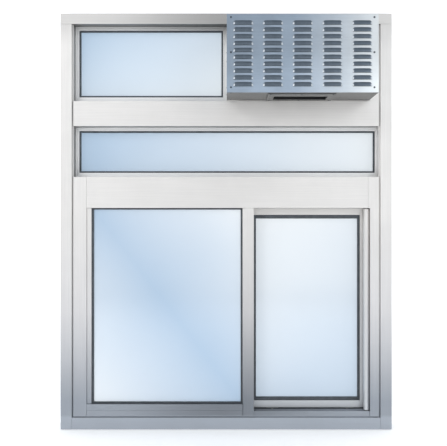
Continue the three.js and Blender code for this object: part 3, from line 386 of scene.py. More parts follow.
head_low, head_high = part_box("frame_head")
for hand, outer in (("left", head_low.x + END_PLATE_INSET),
                    ("right", head_high.x - END_PLATE_INSET - END_PLATE)):
    plate = slab(hand + "_head_end_plate",
                 Vector((outer, head_low.y + END_PLATE_EDGE, head_low.z + END_PLATE_EDGE)),
                 Vector((outer + END_PLATE, head_high.y - END_PLATE_EDGE,
                         head_high.z - END_PLATE_EDGE)))
    break_edges(plate, EDGE_BREAK)
    fit(plate, "frame", "anodised_frame", upright_anodised)


# ---- Rails and posts inside the frame ---------------------------------------
# The same hollow stock: upper rail, header, the posts beside the lites and the meeting
# mullion, each butted to its neighbours with clips inside.
for node, run in (("upper_rail", "X"), ("header_rail", "X"), ("transom_mullion", "Z"),
                  ("left_inner_jamb", "Z"), ("right_inner_jamb", "Z"),
                  ("meeting_mullion", "Z"), ("fixed_sill_rail", "X"), ("infill_panel", "Z")):
    bar = finished(node, node + "_bar", "frame", "anodised_frame",
                   across_anodised if run == "X" else upright_anodised)
    # Painted shade on the undersides of the upper rail and the header.
    if node in ("upper_rail", "header_rail"):
        dull_reveal(bar, (0, 0, -1))


# ---- Tracks -----------------------------------------------------------------
# One-piece extruded sill track with its roller ridge, and the head track that guides the
# top of the sash. Both are clear anodised and screwed into the frame.
TRACK_EDGE = 0.3 * MM
for node in ("sill_track", "head_track"):
    finished(node, node + "_channel", "frame", "anodised_frame", across_anodised,
             TRACK_EDGE)


# ---- Glazing beads ----------------------------------------------------------
# Snap-in aluminium beads round each lite, mitred at the corners with a hair joint. A fine
# quirk runs along the middle of each bead's face.
BEAD_JOINT = 0.12 * MM
BEAD_EDGE = 0.9 * MM
QUIRK_WIDTH = 1.1 * MM
QUIRK_DEPTH = 1.6 * MM
RING_MARGIN = 1.5 * MM


def cut_away(piece, point, direction):
    """Saws off what lies past a plane and closes the cut."""
    pick(piece)
    bpy.ops.object.mode_set(mode="EDIT")
    bpy.ops.mesh.select_all(action="SELECT")
    bpy.ops.mesh.bisect(plane_co=point, plane_no=direction, use_fill=True, clear_outer=True)
    bpy.ops.object.mode_set(mode="OBJECT")


def join_pieces(pieces, name):
    bpy.ops.object.select_all(action="DESELECT")
    for piece in pieces:
        piece.select_set(True)
    bpy.context.view_layer.objects.active = pieces[0]
    bpy.ops.object.join()
    pieces[0].name = name
    return pieces[0]


def ring_corners(node):
    """Outer and inner corners of a rectangular ring, going round in X and Z."""
    start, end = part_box(node)
    inside = [v.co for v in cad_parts[node].data.vertices
              if all(start[k] + RING_MARGIN < v.co[k] < end[k] - RING_MARGIN for k in (0, 2))]
    left, right = min(p.x for p in inside), max(p.x for p in inside)
    bottom, top = min(p.z for p in inside), max(p.z for p in inside)
    return [((start.x, start.z), (left, bottom)), ((end.x, start.z), (right, bottom)),
            ((end.x, end.z), (right, top)), ((start.x, end.z), (left, top))]


def square_tube(name, middle, width, height, wall, depth):
    """A short rectangular tube whose open ends face the front and the back."""
    bpy.ops.object.select_all(action="DESELECT")
    bpy.ops.mesh.primitive_plane_add(size=1, location=middle, rotation=(math.pi / 2, 0, 0))
    made = bpy.context.object
    made.scale = (width, height, 1)
    bpy.ops.object.transform_apply(location=True, rotation=True, scale=True)
    made.name = name
    bpy.ops.object.mode_set(mode="EDIT")
    bpy.ops.mesh.select_all(action="SELECT")
    bpy.ops.mesh.inset(thickness=wall, depth=0)
    bpy.ops.mesh.delete(type="FACE")
    bpy.ops.object.mode_set(mode="OBJECT")
    apply_modifier(made, "SOLIDIFY", thickness=depth, offset=0)
    return made


def quirk_cutter(node, corners):
    """A thin square tube that scores a groove along the middle of a ring's front face."""
    (low_out, low_in), (high_out, high_in) = corners[0], corners[2]
    x0, z0 = (low_out[0] + low_in[0]) / 2, (low_out[1] + low_in[1]) / 2
    x1, z1 = (high_out[0] + high_in[0]) / 2, (high_out[1] + high_in[1]) / 2
    return square_tube("quirk_cutter", ((x0 + x1) / 2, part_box(node)[0].y, (z0 + z1) / 2),
                       x1 - x0 + QUIRK_WIDTH, z1 - z0 + QUIRK_WIDTH, QUIRK_WIDTH,
                       2 * QUIRK_DEPTH)


def mitred_ring(node, name, body, materials):
    """Four lengths of one ring, each sawn on the line from its outer to its inner corner."""
    corners = ring_corners(node)
    cutter = quirk_cutter(node, corners)
    centre = Vector((sum(c[0][0] for c in corners) / 4, 0, sum(c[0][1] for c in corners) / 4))
    lengths = []
    for index in range(4):
        length = copy_of(node, name + str(index))
        pair = (corners[index], corners[(index + 1) % 4])
        inward = centre - Vector(((pair[0][0][0] + pair[1][0][0]) / 2, 0,
                                  (pair[0][0][1] + pair[1][0][1]) / 2))
        along = Vector((pair[1][0][0] - pair[0][0][0], 0, pair[1][0][1] - pair[0][0][1]))
        cut_away(length, centre, inward.normalized())
        for (outer, inner), way in ((pair[0], -1), (pair[1], 1)):
            outer_point = Vector((outer[0], 0, outer[1]))
            diagonal = Vector((inner[0] - outer[0], 0, inner[1] - outer[1])).normalized()
            normal = diagonal.cross(Vector((0, 1, 0)))
            if normal.dot(along) * way < 0:
                normal.negate()
            cut_away(length, outer_point - normal * BEAD_JOINT, normal)
        apply_modifier(length, "BOOLEAN", object=cutter, operation="DIFFERENCE", solver="EXACT")
        break_edges(length, BEAD_EDGE)
        length.data.materials.clear()
        length.data.materials.append(materials["X" if index % 2 == 0 else "Z"])
        lengths.append(length)
    bpy.data.objects.remove(cutter)
    piece = join_pieces(lengths, name)
    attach(piece, body)
    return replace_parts(piece, node)


# A paler copy of the anodised material for the beads: painted light for the light they catch in
# the recess, with the same painted shade low down.
bead_runs = {run: anodised("bead_anodised_" + run.lower(), run, metallic=0.3,
                           palest=(0.95, 0.945, 0.94, 1), middling=(0.93, 0.93, 0.93, 1),
                           deepest=(0.60, 0.62, 0.65, 1), hollow=0.2) for run in "XZ"}
for node in ("transom_bead", "ribbon_bead"):
    mitred_ring(node, node + "_lengths", "frame", bead_runs)
finished("fixed_side_bead", "fixed_side_bead_length", "frame", "anodised_frame",
         upright_anodised, BEAD_EDGE)


# ---- Gaskets ----------------------------------------------------------------
# Black wedge gaskets pressed between bead and glass: soft rounded lips, welded corners
# and a faint bloom on the rubber.
GASKET_LIP = 1.6 * MM


def rubber(name, colour, roughness):
    material, shader, place = new_material(name, 0, roughness)
    bloom = noise(material, place, 38.0, 4.0)
    pores = noise(material, place, 1900.0, 2.0)
    dusty = tuple(c * 1.9 + 0.012 for c in colour[:3]) + (1,)
    link(material, mix_colours(material, spread(material, bloom, 0.45, 0.75, 0.0, 0.6),
                               colour, dusty), shader, "Base Color")
    link(material, spread(material, bloom, 0.3, 0.7, roughness - 0.1, roughness + 0.12),
         shader, "Roughness")
    use_bump(material, shader, pores, 0.25, 0.08 * MM)
    return material


gasket_rubber = rubber("gasket_rubber", (0.062, 0.07, 0.08, 1), 0.62)
for node, body in (("transom_gasket", "frame"), ("ribbon_gasket", "frame"),
                   ("fixed_gasket", "frame"), ("sash_gasket", "sash")):
    finished(node, node + "_wedge", body, "glazing_rubber", gasket_rubber, GASKET_LIP, 3)


# ---- Insulating glass -------------------------------------------------------
# Each lite is two panes of coated glass on a perforated aluminium spacer, sealed at the edge. A
# painted sky reflection drifts from blue to nearly clear across each pane, with a faint painted
# glow.
PANE = 5.0 * MM
PANE_ARRIS = 0.7 * MM
SPACER_INSET = 3.0 * MM
SPACER_WIDTH = 6.5 * MM
SPACER_EDGE = 0.8 * MM
OUTER_OPACITY = 0.95
INNER_OPACITY = 0.35
COAT_BLUE = (0.475, 0.60, 0.75, 1)
COAT_CLEAR = (0.93, 0.945, 0.955, 1)
SKY_GLOW = (0.70, 0.90, 1.0, 1)


def coated_glass(name, start, end, across, up, offset, opacity, glow):
    material, shader, place = new_material(name, 0.3, 0.05)
    split = add_node(material, "SeparateXYZ", {0: place})
    u = spread(material, split.outputs["X"], start.x, end.x, 0.0, 1.0)
    v = spread(material, split.outputs["Z"], start.z, end.z, 0.0, 1.0)
    slope = reckon(material, "ADD", reckon(material, "MULTIPLY", u, across),
                   reckon(material, "MULTIPLY", v, up))
    drift = reckon(material, "ABSOLUTE", reckon(material, "ADD", slope, offset))
    cloud = spread(material, noise(material, place, 2.2, 1.0), 0.3, 0.7, -0.06, 0.06)
    amount = spread(material, reckon(material, "ADD", drift, cloud), 0.0, 1.0, 0.0, 1.0)
    # Painted reflection: the base colour drifts from reflected sky blue to nearly clear, and a
    # faint emission is a painted glow of reflected sky.
    link(material, mix_colours(material, amount, COAT_BLUE, COAT_CLEAR), shader, "Base Color")
    shader.inputs["IOR"].default_value = 1.45
    shader.inputs["Alpha"].default_value = opacity
    shader.inputs["Emission Color"].default_value = SKY_GLOW
    shader.inputs["Emission Strength"].default_value = glow
    return material


def pane(name, start, end, y0, y1, material, body, *nodes):
    made = slab(name, Vector((start.x, y0, start.z)), Vector((end.x, y1, end.z)))
    break_edges(made, PANE_ARRIS)
    return fit(made, body, "clear_glass", material, *nodes)


def spacer_bar(name, start, end, body):
    """Hollow bar bent round four corners between the panes."""
    made = square_tube(name, (start + end) / 2, end.x - start.x - 2 * SPACER_INSET,
                       end.z - start.z - 2 * SPACER_INSET, SPACER_WIDTH,
                       end.y - start.y - 2 * PANE)
    break_edges(made, SPACER_EDGE)
    return fit(made, body, "anodised_frame", spacer_aluminium)


def spacer_finish():
    material, shader, place = new_material("spacer_aluminium", 0.75, 0.38)
    dots = add_node(material, "TexVoronoi", {"Vector": place, "Scale": 260.0},
                    feature="F1").outputs["Distance"]
    holes = spread(material, dots, 0.10, 0.16, 0.0, 1.0)
    link(material, mix_colours(material, holes, (0.08, 0.085, 0.09, 1), (0.62, 0.64, 0.66, 1)),
         shader, "Base Color")
    use_bump(material, shader, holes, 0.3, 0.1 * MM)
    return material


spacer_aluminium = spacer_finish()
for lite, body, across, up, offset, glow in (
        ("transom", "frame", 0.6, -0.45, 0.42, 0.11), ("ribbon", "frame", 1.0, 0.0, -0.04, 0.07),
        ("fixed", "frame", 0.9, 0.9, -0.9, 0.04), ("sash", "sash", -0.16, 0.62, 0.40, 0.04)):
    start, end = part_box(lite + "_glass")
    outer_glass = coated_glass(lite + "_coated", start, end, across, up, offset,
                               OUTER_OPACITY, glow)
    inner_glass = coated_glass(lite + "_plain", start, end, across, up, offset,
                               INNER_OPACITY, 0.0)
    pane(lite + "_outer_pane", start, end, start.y, start.y + PANE, outer_glass, body,
         lite + "_glass")
    pane(lite + "_inner_pane", start, end, end.y - PANE, end.y, inner_glass, body)
    spacer_bar(lite + "_spacer", start, end, body)


# ---- Sliding sash -----------------------------------------------------------
# Four hollow extrusions screwed at the corners, with a mitred bead behind the glass and a
# rounded full-height pull on the closing stile.
# The sash carries the same painted light and shade, with a lighter shaded low tone and little
# painted shade in the middle.
SASH_DEEP = (0.62, 0.635, 0.655, 1)
SASH_MID = (0.70, 0.69, 0.69, 1)
sash_runs = {run: anodised("sash_anodised_" + run.lower(), run, deepest=SASH_DEEP,
                           middling=SASH_MID, hollow=0.1) for run in "XZ"}
for node, run in (("sash_left_stile", "Z"), ("sash_right_stile", "Z"),
                  ("sash_top_rail", "X"), ("sash_bottom_rail", "X")):
    finished(node, node + "_bar", "sash", "anodised_sash", sash_runs[run])
mitred_ring("sash_rear_bead", "sash_rear_bead_lengths", "sash", sash_runs)
finished("sash_pull", "pull_bar", "sash", "anodised_sash", sash_runs["Z"], 0.8 * MM, 3)


# ---- Sash running gear ------------------------------------------------------
# Nylon rollers on steel axles in folded carriers under the bottom rail, a rubber stop in
# the track and a pile strip along the top.
SCRATCH_DEPTH = 0.03 * MM


def plain_metal(name, colour, metallic, roughness, grain=60.0, change=0.12):
    """Plated or bare metal with a cloudy surface and fine scratches."""
    material, shader, place = new_material(name, metallic, roughness)
    cloud = noise(material, place, grain, 4.0)
    fine = noise(material, place, 1.0, 2.0, (1500, 220, 900))
    dull = tuple(c * (1 - change) for c in colour[:3]) + (1,)
    link(material, mix_colours(material, spread(material, cloud, 0.35, 0.65, 0.0, 1.0),
                               dull, colour), shader, "Base Color")
    link(material, spread(material, fine, 0.3, 0.7, roughness - 0.07, roughness + 0.09),
         shader, "Roughness")
    use_bump(material, shader, fine, 0.15, SCRATCH_DEPTH)
    return material


plated_steel = plain_metal("plated_steel", (0.50, 0.51, 0.50, 1), 0.85, 0.36)
bright_steel = plain_metal("bright_steel", (0.66, 0.67, 0.68, 1), 0.92, 0.22, 30.0, 0.08)
roller_nylon, nylon_shader, nylon_place = new_material("roller_nylon", 0, 0.45)
link(roller_nylon, mix_colours(
    roller_nylon, spread(roller_nylon, noise(roller_nylon, nylon_place, 300.0), 0.4, 0.7, 0, 1),
    (0.72, 0.71, 0.66, 1), (0.60, 0.585, 0.53, 1)), nylon_shader, "Base Color")
nylon_shader.inputs["Subsurface Weight"].default_value = 0.08
nylon_shader.inputs["Subsurface Scale"].default_value = 0.002
use_bump(roller_nylon, nylon_shader, noise(roller_nylon, nylon_place, 900.0), 0.1, 0.05 * MM)
stop_rubber = rubber("stop_rubber", (0.03, 0.03, 0.032, 1), 0.7)

for hand in ("left", "right"):
    finished(hand + "_roller_carrier", hand + "_carrier_fold", "sash", "steel_parts",
             plated_steel, 0.6 * MM)
    finished(hand + "_roller", hand + "_roller_wheel", hand + "_roller", "nylon",
             roller_nylon, 1.0 * MM, 3)
finished("sash_stop", "sash_stop_block", "frame", "stop_rubber", stop_rubber, 1.5 * MM, 3)

pile_yarn, pile_shader, pile_place = new_material("pile_yarn", 0, 0.95)
tufts = noise(pile_yarn, pile_place, 1.0, 2.0, (2600, 2600, 240))
link(pile_yarn, mix_colours(pile_yarn, spread(pile_yarn, tufts, 0.35, 0.65, 0.0, 1.0),
                            (0.05, 0.052, 0.055, 1), (0.16, 0.165, 0.17, 1)),
     pile_shader, "Base Color")
pile_shader.inputs["Sheen Weight"].default_value = 0.4
use_bump(pile_yarn, pile_shader, tufts, 0.6, 0.4 * MM)
finished("top_weatherstrip", "top_pile_strip", "sash", "pile", pile_yarn, 1.2 * MM, 3)


# ---- Screws -----------------------------------------------------------------
# Pan-head machine screws with a cross recess, zinc plated or black, driven square into
# the sheets and brackets they hold.
SCREW_HEAD = 2.1 * MM
HEAD_HEIGHT = 0.62
HEAD_MIDDLE = 0.21
HEAD_CROWN = 0.22
RECESS_SIZE = (1.05, 0.2, 0.5)
RECESS_MIDDLE = 0.52
SPIN_START = 0.3
SPIN_STEP = 0.7


def screw_pattern():
    """A screw head of radius 1 that faces +Z, with a crowned top and a cross recess."""
    bpy.ops.object.select_all(action="DESELECT")
    bpy.ops.mesh.primitive_cylinder_add(vertices=20, radius=1.0, depth=HEAD_HEIGHT,
                                        location=(0, 0, HEAD_MIDDLE), end_fill_type="NGON")
    head = bpy.context.object
    bpy.ops.object.transform_apply(location=True, rotation=True, scale=True)
    break_edges(head, HEAD_CROWN, 3)
    for turn in (0, math.pi / 2):
        bpy.ops.object.select_all(action="DESELECT")
        bpy.ops.mesh.primitive_cube_add(size=1, location=(0, 0, RECESS_MIDDLE),
                                        rotation=(0, 0, turn), scale=RECESS_SIZE)
        bit = bpy.context.object
        apply_modifier(head, "BOOLEAN", object=bit, operation="DIFFERENCE", solver="EXACT")
        bpy.data.objects.remove(bit)
    bpy.context.scene.collection.objects.unlink(head)
    return head


screw_head_pattern = screw_pattern()
SQUARE_ON = Vector((0, 0, 1))


def screws(name, places, facing, body, radius=SCREW_HEAD, material=plated_steel):
    """A set of like screws on one body, each turned to its own angle."""
    heads = []
    for index, place in enumerate(places):
        head = bpy.data.objects.new(f"{name}{index}", screw_head_pattern.data.copy())
        bpy.context.scene.collection.objects.link(head)
        turn = SQUARE_ON.rotation_difference(Vector(facing)).to_matrix().to_4x4()
        spin = Matrix.Rotation(SPIN_STEP * index + SPIN_START, 4, "Z")
        head.data.transform(Matrix.Translation(Vector(place) * MM) @ turn @ spin
                            @ Matrix.Scale(radius, 4))
        heads.append(head)
    piece = join_pieces(heads, name) if len(heads) > 1 else heads[0]
    pick(piece)
    bpy.ops.object.shade_smooth_by_angle(angle=SHARP)
    return fit(piece, body, "steel_parts", material)


def span(node):
    """The two corners of a CAD part's box, in millimetres."""
    return tuple(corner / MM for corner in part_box(node))


# ---- Latch ------------------------------------------------------------------
# Cast case on the back of the closing stile, a steel hook bolt with a thumb turn, and a
# slotted strike plate on the post.
CASE_SCREW_SHIFT = 1
CASE_SCREW_RISE = 6
CASE_SCREW_DROP = 5
STRIKE_SCREW_INSET = 6
STRIKE_SCREW_HEAD = 1.9 * MM
case_low, case_high = span("latch_case")
finished("latch_case", "latch_case_casting", "sash", "steel_parts", plated_steel, 1.6 * MM, 3)
finished("hook_bolt", "hook_bolt_blade", "latch", "steel_parts", bright_steel, 0.5 * MM)
finished("thumb_turn", "thumb_turn_knob", "latch", "bright_steel", bright_steel, 1.1 * MM, 3)
finished("strike_plate", "strike_plate_sheet", "frame", "steel_parts", plated_steel, 0.3 * MM)
case_screw_x = (case_low.x + case_high.x) / 2 - CASE_SCREW_SHIFT
screws("latch_screws", [(case_screw_x, case_high.y, case_low.z + CASE_SCREW_RISE),
                        (case_screw_x, case_high.y, case_high.z - CASE_SCREW_DROP)],
       (0, 1, 0), "sash")
strike_low, strike_high = span("strike_plate")
strike_y = (strike_low.y + strike_high.y) / 2
screws("strike_screws", [(strike_low.x, strike_y, strike_low.z + STRIKE_SCREW_INSET),
                         (strike_low.x, strike_y, strike_high.z - STRIKE_SCREW_INSET)],
       (-1, 0, 0), "frame", STRIKE_SCREW_HEAD)


# ---- Louvred front ----------------------------------------------------------
# One blanked aluminium sheet: fifty slots, each under a pressed hood with tapered ends that opens
# downwards, held to the casing with six dark screws. The hoods carry painted shade and their lower
# ends painted glints. Sizes in millimetres.
SHEET = 1.6
HOOD_COLUMNS = 5
HOOD_ROWS = 10
SIDE_MARGIN = 5.3
END_MARGIN = 17.0
PLAIN_STRIP = 33.0
HOOD_TOP = 9.4
HOOD_LIP = -7.0
SLOT_BOTTOM = -7.8
SLOT_TOP = 3.0
HOOD_DEPTH = 4.6
HOOD_END = 11.0
HOOD_LEAN = math.radians(9)
HOOD_GAUGE = 1.1
TIP_REACH = 4.4
TIP_HEIGHT = 9.0
SLOT_SHORT = 2.0
PUNCH_REACH = 2.0
PRESSED_EDGE = math.radians(50)
MEAN_SHARE = 0.45
LIGHT_SHARE = 0.76
LOW_LIFT = 1.28
LIFT_HEIGHT = 0.6


def casing_finish(name, metallic, deep, mean, light):
    """Silver-grey sheet with a painted reflection paler towards its free corner and painted light
    low down, under a fine rolled grain.
    """
    material, shader, place = new_material(name, metallic, 0.36)
    split = add_node(material, "SeparateXYZ", {0: place})
    start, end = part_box("casing_wrap")
    # Painted reflection along the sheet, and painted light lower down.
    along = spread(material, split.outputs["X"], start.x, end.x, 0.0, 1.0)
    ramp = add_node(material, "ValToRGB", {0: along})
    elements = ramp.color_ramp.elements
    elements[0].color = deep
    elements[1].color = light
    elements.new(MEAN_SHARE).color = mean
    elements.new(LIGHT_SHARE).color = tuple(a * 0.55 + b * 0.45 for a, b in zip(mean, light))
    lift = spread(material, split.outputs["Z"], start.z,
                  start.z + LIFT_HEIGHT * (end.z - start.z), LOW_LIFT, 1.0, "SMOOTHSTEP")
    rolled = noise(material, place, 1.0, 2.0, (6, 700, 700))
    cloud = noise(material, place, 16.0, 3.0)
    grain = reckon(material, "MULTIPLY", spread(material, rolled, 0.3, 0.7, 0.95, 1.04),
                   spread(material, cloud, 0.3, 0.7, 0.95, 1.04))
    link(material, mix_colours(material, 1.0, ramp.outputs[0],
                               reckon(material, "MULTIPLY", grain, lift), "MULTIPLY"),
         shader, "Base Color")
    link(material, spread(material, cloud, 0.3, 0.7, 0.30, 0.42), shader, "Roughness")
    use_bump(material, shader, rolled, 0.12, 0.05 * MM)
    return material


casing_sheet = casing_finish("casing_sheet", 0.6, (0.26, 0.315, 0.385, 1),
                             (0.31, 0.375, 0.455, 1), (0.70, 0.725, 0.735, 1))
# Painted shade: a dark copy of the sheet for the hood faces. Painted glints: a pale copy for the
# lower hood ends.
hood_sheet = plain_metal("hood_sheet", (0.165, 0.20, 0.24, 1), 0.75, 0.34)
hood_tip = plain_metal("hood_tip", (0.66, 0.70, 0.74, 1), 0.3, 0.3)
# Painted shade: the bottom pan and outlet nozzle sheet is darkened for the shade under the unit.
pan_sheet = plain_metal("pan_sheet", (0.15, 0.147, 0.143, 1), 0.5, 0.42, 14.0)
dark_screw = plain_metal("dark_screw", (0.07, 0.085, 0.10, 1), 0.7, 0.42)

unit_low, unit_high = span("louvre_panel")
sheet_front = unit_low.y + HOOD_DEPTH
column_pitch = (unit_high.x - unit_low.x - 2 * SIDE_MARGIN) / HOOD_COLUMNS
row_pitch = (unit_high.z - unit_low.z - 2 * END_MARGIN) / HOOD_ROWS
hood_length = column_pitch - PLAIN_STRIP


def choose_points(piece, wanted):
    pick(piece)
    bpy.ops.object.mode_set(mode="EDIT")
    bpy.ops.mesh.select_mode(type="VERT")
    bpy.ops.mesh.select_all(action="DESELECT")
    bpy.ops.object.mode_set(mode="OBJECT")
    for vertex in piece.data.vertices:
        vertex.select = wanted(vertex.co)
    bpy.ops.object.mode_set(mode="EDIT")


def hood_pattern():
    """One pressed hood at the origin: a drawn-out ball, leaned forward and cut to its lip."""
    bpy.ops.object.select_all(action="DESELECT")
    bpy.ops.mesh.primitive_uv_sphere_add(segments=20, ring_count=12, radius=HOOD_END * MM,
                                         rotation=(0, math.pi / 2, 0))
    hood = bpy.context.object
    bpy.ops.object.transform_apply(location=False, rotation=True, scale=False)
    draw = (hood_length / 2 - HOOD_END) * MM
    for way in (-1, 1):
        choose_points(hood, lambda co: co.x * way > 0.01 * MM)
        bpy.ops.transform.translate(value=(way * draw, 0, 0))
        bpy.ops.object.mode_set(mode="OBJECT")
    choose_points(hood, lambda co: True)
    bpy.ops.transform.resize(value=(1, HOOD_DEPTH / HOOD_END,
                                    (HOOD_TOP - HOOD_LIP) / HOOD_END), center_override=(0, 0, 0))
    bpy.ops.transform.rotate(value=HOOD_LEAN, orient_axis="X", center_override=(0, 0, 0))
    bpy.ops.object.mode_set(mode="OBJECT")
    front = -min(v.co.y for v in hood.data.vertices)
    for point, direction in (((0, 0.25 * MM, 0), (0, 1, 0)), ((0, 0, 0), (0, 0, -1))):
        pick(hood)
        bpy.ops.object.mode_set(mode="EDIT")
        bpy.ops.mesh.select_all(action="SELECT")
        bpy.ops.mesh.bisect(plane_co=point, plane_no=direction, clear_outer=True)
        bpy.ops.object.mode_set(mode="OBJECT")
    choose_points(hood, lambda co: True)
    bpy.ops.transform.resize(value=(1, HOOD_DEPTH * MM / front, 1), center_override=(0, 0, 0))
    bpy.ops.mesh.normals_make_consistent(inside=False)
    bpy.ops.object.mode_set(mode="OBJECT")
    apply_modifier(hood, "SOLIDIFY", thickness=HOOD_GAUGE * MM, offset=-1)
    for material in (casing_sheet, hood_sheet, hood_tip):
        hood.data.materials.append(material)
    # Hood faces get the painted shade; their lower ends get the painted glints.
    for face in hood.data.polygons:
        tip = abs(face.center.x) > (hood_length / 2 - TIP_REACH) * MM
        face.material_index = 2 if tip and face.center.z < TIP_HEIGHT * MM else 1
    bpy.context.scene.collection.objects.unlink(hood)
    return hood


def louvred_sheet():
    """The blank with its slots cut and its hoods raised."""
    hood = hood_pattern()
    sheet = slab("blank", Vector((unit_low.x, sheet_front, unit_low.z)) * MM,
                 Vector((unit_high.x, sheet_front + SHEET, unit_high.z)) * MM)
    sheet_middle = sheet_front + SHEET / 2
    half_slot = hood_length / 2 - SLOT_SHORT
    punches, hoods = [], []
    for column in range(HOOD_COLUMNS):
        x = unit_low.x + SIDE_MARGIN + (column + 0.5) * column_pitch
        for row in range(HOOD_ROWS):
            z = unit_low.z + END_MARGIN + (row + 0.5) * row_pitch
            punches.append(slab(
                "punch", Vector((x - half_slot, sheet_middle - PUNCH_REACH, z + SLOT_BOTTOM)) * MM,
                Vector((x + half_slot, sheet_middle + PUNCH_REACH, z + SLOT_TOP)) * MM))
            raised = bpy.data.objects.new(f"hood{column}_{row}", hood.data.copy())
            bpy.context.scene.collection.objects.link(raised)
            raised.data.transform(Matrix.Translation(
                (x * MM, sheet_front * MM, (z + HOOD_LIP) * MM)))
            hoods.append(raised)
    punch = join_pieces(punches, "punches")
    apply_modifier(sheet, "BOOLEAN", object=punch, operation="DIFFERENCE", solver="EXACT")
    bpy.data.objects.remove(punch)
    break_edges(sheet, 0.35 * MM, 1)
    sheet.data.materials.append(casing_sheet)
    for raised in hoods:
        pick(raised)
        bpy.ops.object.shade_smooth_by_angle(angle=PRESSED_EDGE)
    return join_pieces([sheet] + hoods, "louvred_front")


fit(louvred_sheet(), "frame", "unit_sheet", casing_sheet, "louvre_panel")
FRONT_SCREW_HEAD = 3.3 * MM
front_screw_x = (unit_low.x + 14.4, unit_high.x - 14.7)
front_screw_z = (unit_high.z - 10.9, unit_high.z - 131.0, unit_low.z + 17.5)
screws("front_screws", [(x, sheet_front, z) for x in front_screw_x for z in front_screw_z],
       (0, -1, 0), "frame", FRONT_SCREW_HEAD, dark_screw)


# ---- Unit casing ------------------------------------------------------------
# Top and sides folded from one sheet, a bottom pan with its outlet, and the flanged
# outlet nozzle screwed up under it.
CASING_SCREW_INSET = 9
PAN_SCREW_FRONT = 12
PAN_SCREW_BACK = 14
FLANGE_SCREW_INSET = 9
LARGE_SCREW_HEAD = 2.6 * MM
finished("casing_wrap", "casing_wrap_fold", "frame", "unit_sheet", casing_sheet, 1.1 * MM, 3)
finished("bottom_pan", "bottom_pan_sheet", "frame", "unit_sheet", pan_sheet, 0.4 * MM)
nozzle = finished("nozzle_flange", "outlet_nozzle", "frame", "unit_sheet", pan_sheet, 0.5 * MM)
# Painted shade: the inward faces of the outlet throat are made near-black.
throat_black = plain_metal("throat_black", (0.012, 0.012, 0.013, 1), 0.2, 0.8)
nozzle.data.materials.append(throat_black)
throat_start, throat_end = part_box("scroll_housing")
throat_centre = (throat_start + throat_end) / 2
vane_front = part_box("air_vane")[0].y
for face in nozzle.data.polygons:
    outwards = Vector((face.center.x - throat_centre.x, face.center.y - vane_front, 0))
    inside = throat_start.x - MM < face.center.x < throat_end.x + MM
    if inside and abs(face.normal.z) < 0.5 and face.normal.dot(outwards) < 0:
        face.material_index = 1
wrap_low, wrap_high = span("casing_wrap")
wrap_screw_y = (wrap_low.y + CASING_SCREW_INSET, wrap_high.y - CASING_SCREW_INSET)
for hand, x, way in (("left", wrap_low.x, -1), ("right", wrap_high.x, 1)):
    screws(hand + "_casing_screws", [(x, y, z) for y in wrap_screw_y for z in front_screw_z],
           (way, 0, 0), "frame")
top_screw_x = (front_screw_x[0], (wrap_low.x + wrap_high.x) / 2, front_screw_x[1])
screws("top_casing_screws", [(x, y, wrap_high.z) for x in top_screw_x for y in wrap_screw_y],
       (0, 0, 1), "frame")
pan_low, pan_high = span("bottom_pan")
pan_screw_y = (pan_low.y + PAN_SCREW_FRONT, pan_high.y - PAN_SCREW_BACK)
screws("pan_screws", [(x, y, pan_low.z) for x in front_screw_x for y in pan_screw_y],
       (0, 0, -1), "frame", material=dark_screw)
flange_low, flange_high = span("nozzle_flange")
flange_screw_x = (flange_low.x + FLANGE_SCREW_INSET, (flange_low.x + flange_high.x) / 2,
                  flange_high.x - FLANGE_SCREW_INSET)
flange_screw_y = (flange_low.y + FLANGE_SCREW_INSET, flange_high.y - FLANGE_SCREW_INSET)
screws("flange_screws", [(x, y, flange_low.z) for x in flange_screw_x for y in flange_screw_y],
       (0, 0, -1), "frame", LARGE_SCREW_HEAD, dark_screw)


# ---- Blower -----------------------------------------------------------------
# Galvanised scroll and wheel on a ground shaft, carried by an enamelled motor in a folded
# cradle and by a pillow bearing at the far end.
def galvanised(name, tone):
    material, shader, place = new_material(name, 0.8, 0.4)
    spangle = add_node(material, "TexVoronoi", {"Vector": place, "Scale": 120.0}).outputs
    cell = add_node(material, "SeparateColor", {0: spangle["Color"]}).outputs[0]
    flake = spread(material, cell, 0.0, 1.0, 0.82, 1.12)
    link(material, mix_colours(material, 1.0, tone, flake, "MULTIPLY"), shader, "Base Color")
    link(material, spread(material, cell, 0.0, 1.0, 0.30, 0.52), shader, "Roughness")
    use_bump(material, shader, noise(material, place, 400.0), 0.1, 0.03 * MM)
    return material


def enamel(name, colour, roughness):
    """Baked enamel with a light orange peel."""
    material, shader, place = new_material(name, 0, roughness)
    peel = noise(material, place, 420.0, 2.0)
    wear = spread(material, noise(material, place, 26.0, 4.0), 0.35, 0.7, 1.0, 0.86)
    link(material, mix_colours(material, 1.0, colour, wear, "MULTIPLY"), shader, "Base Color")
    shader.inputs["Coat Weight"].default_value = 0.25
    shader.inputs["Coat Roughness"].default_value = 0.2
    use_bump(material, shader, peel, 0.25, 0.06 * MM)
    return material


zinc_sheet = galvanised("galvanised_sheet", (0.40, 0.42, 0.44, 1))
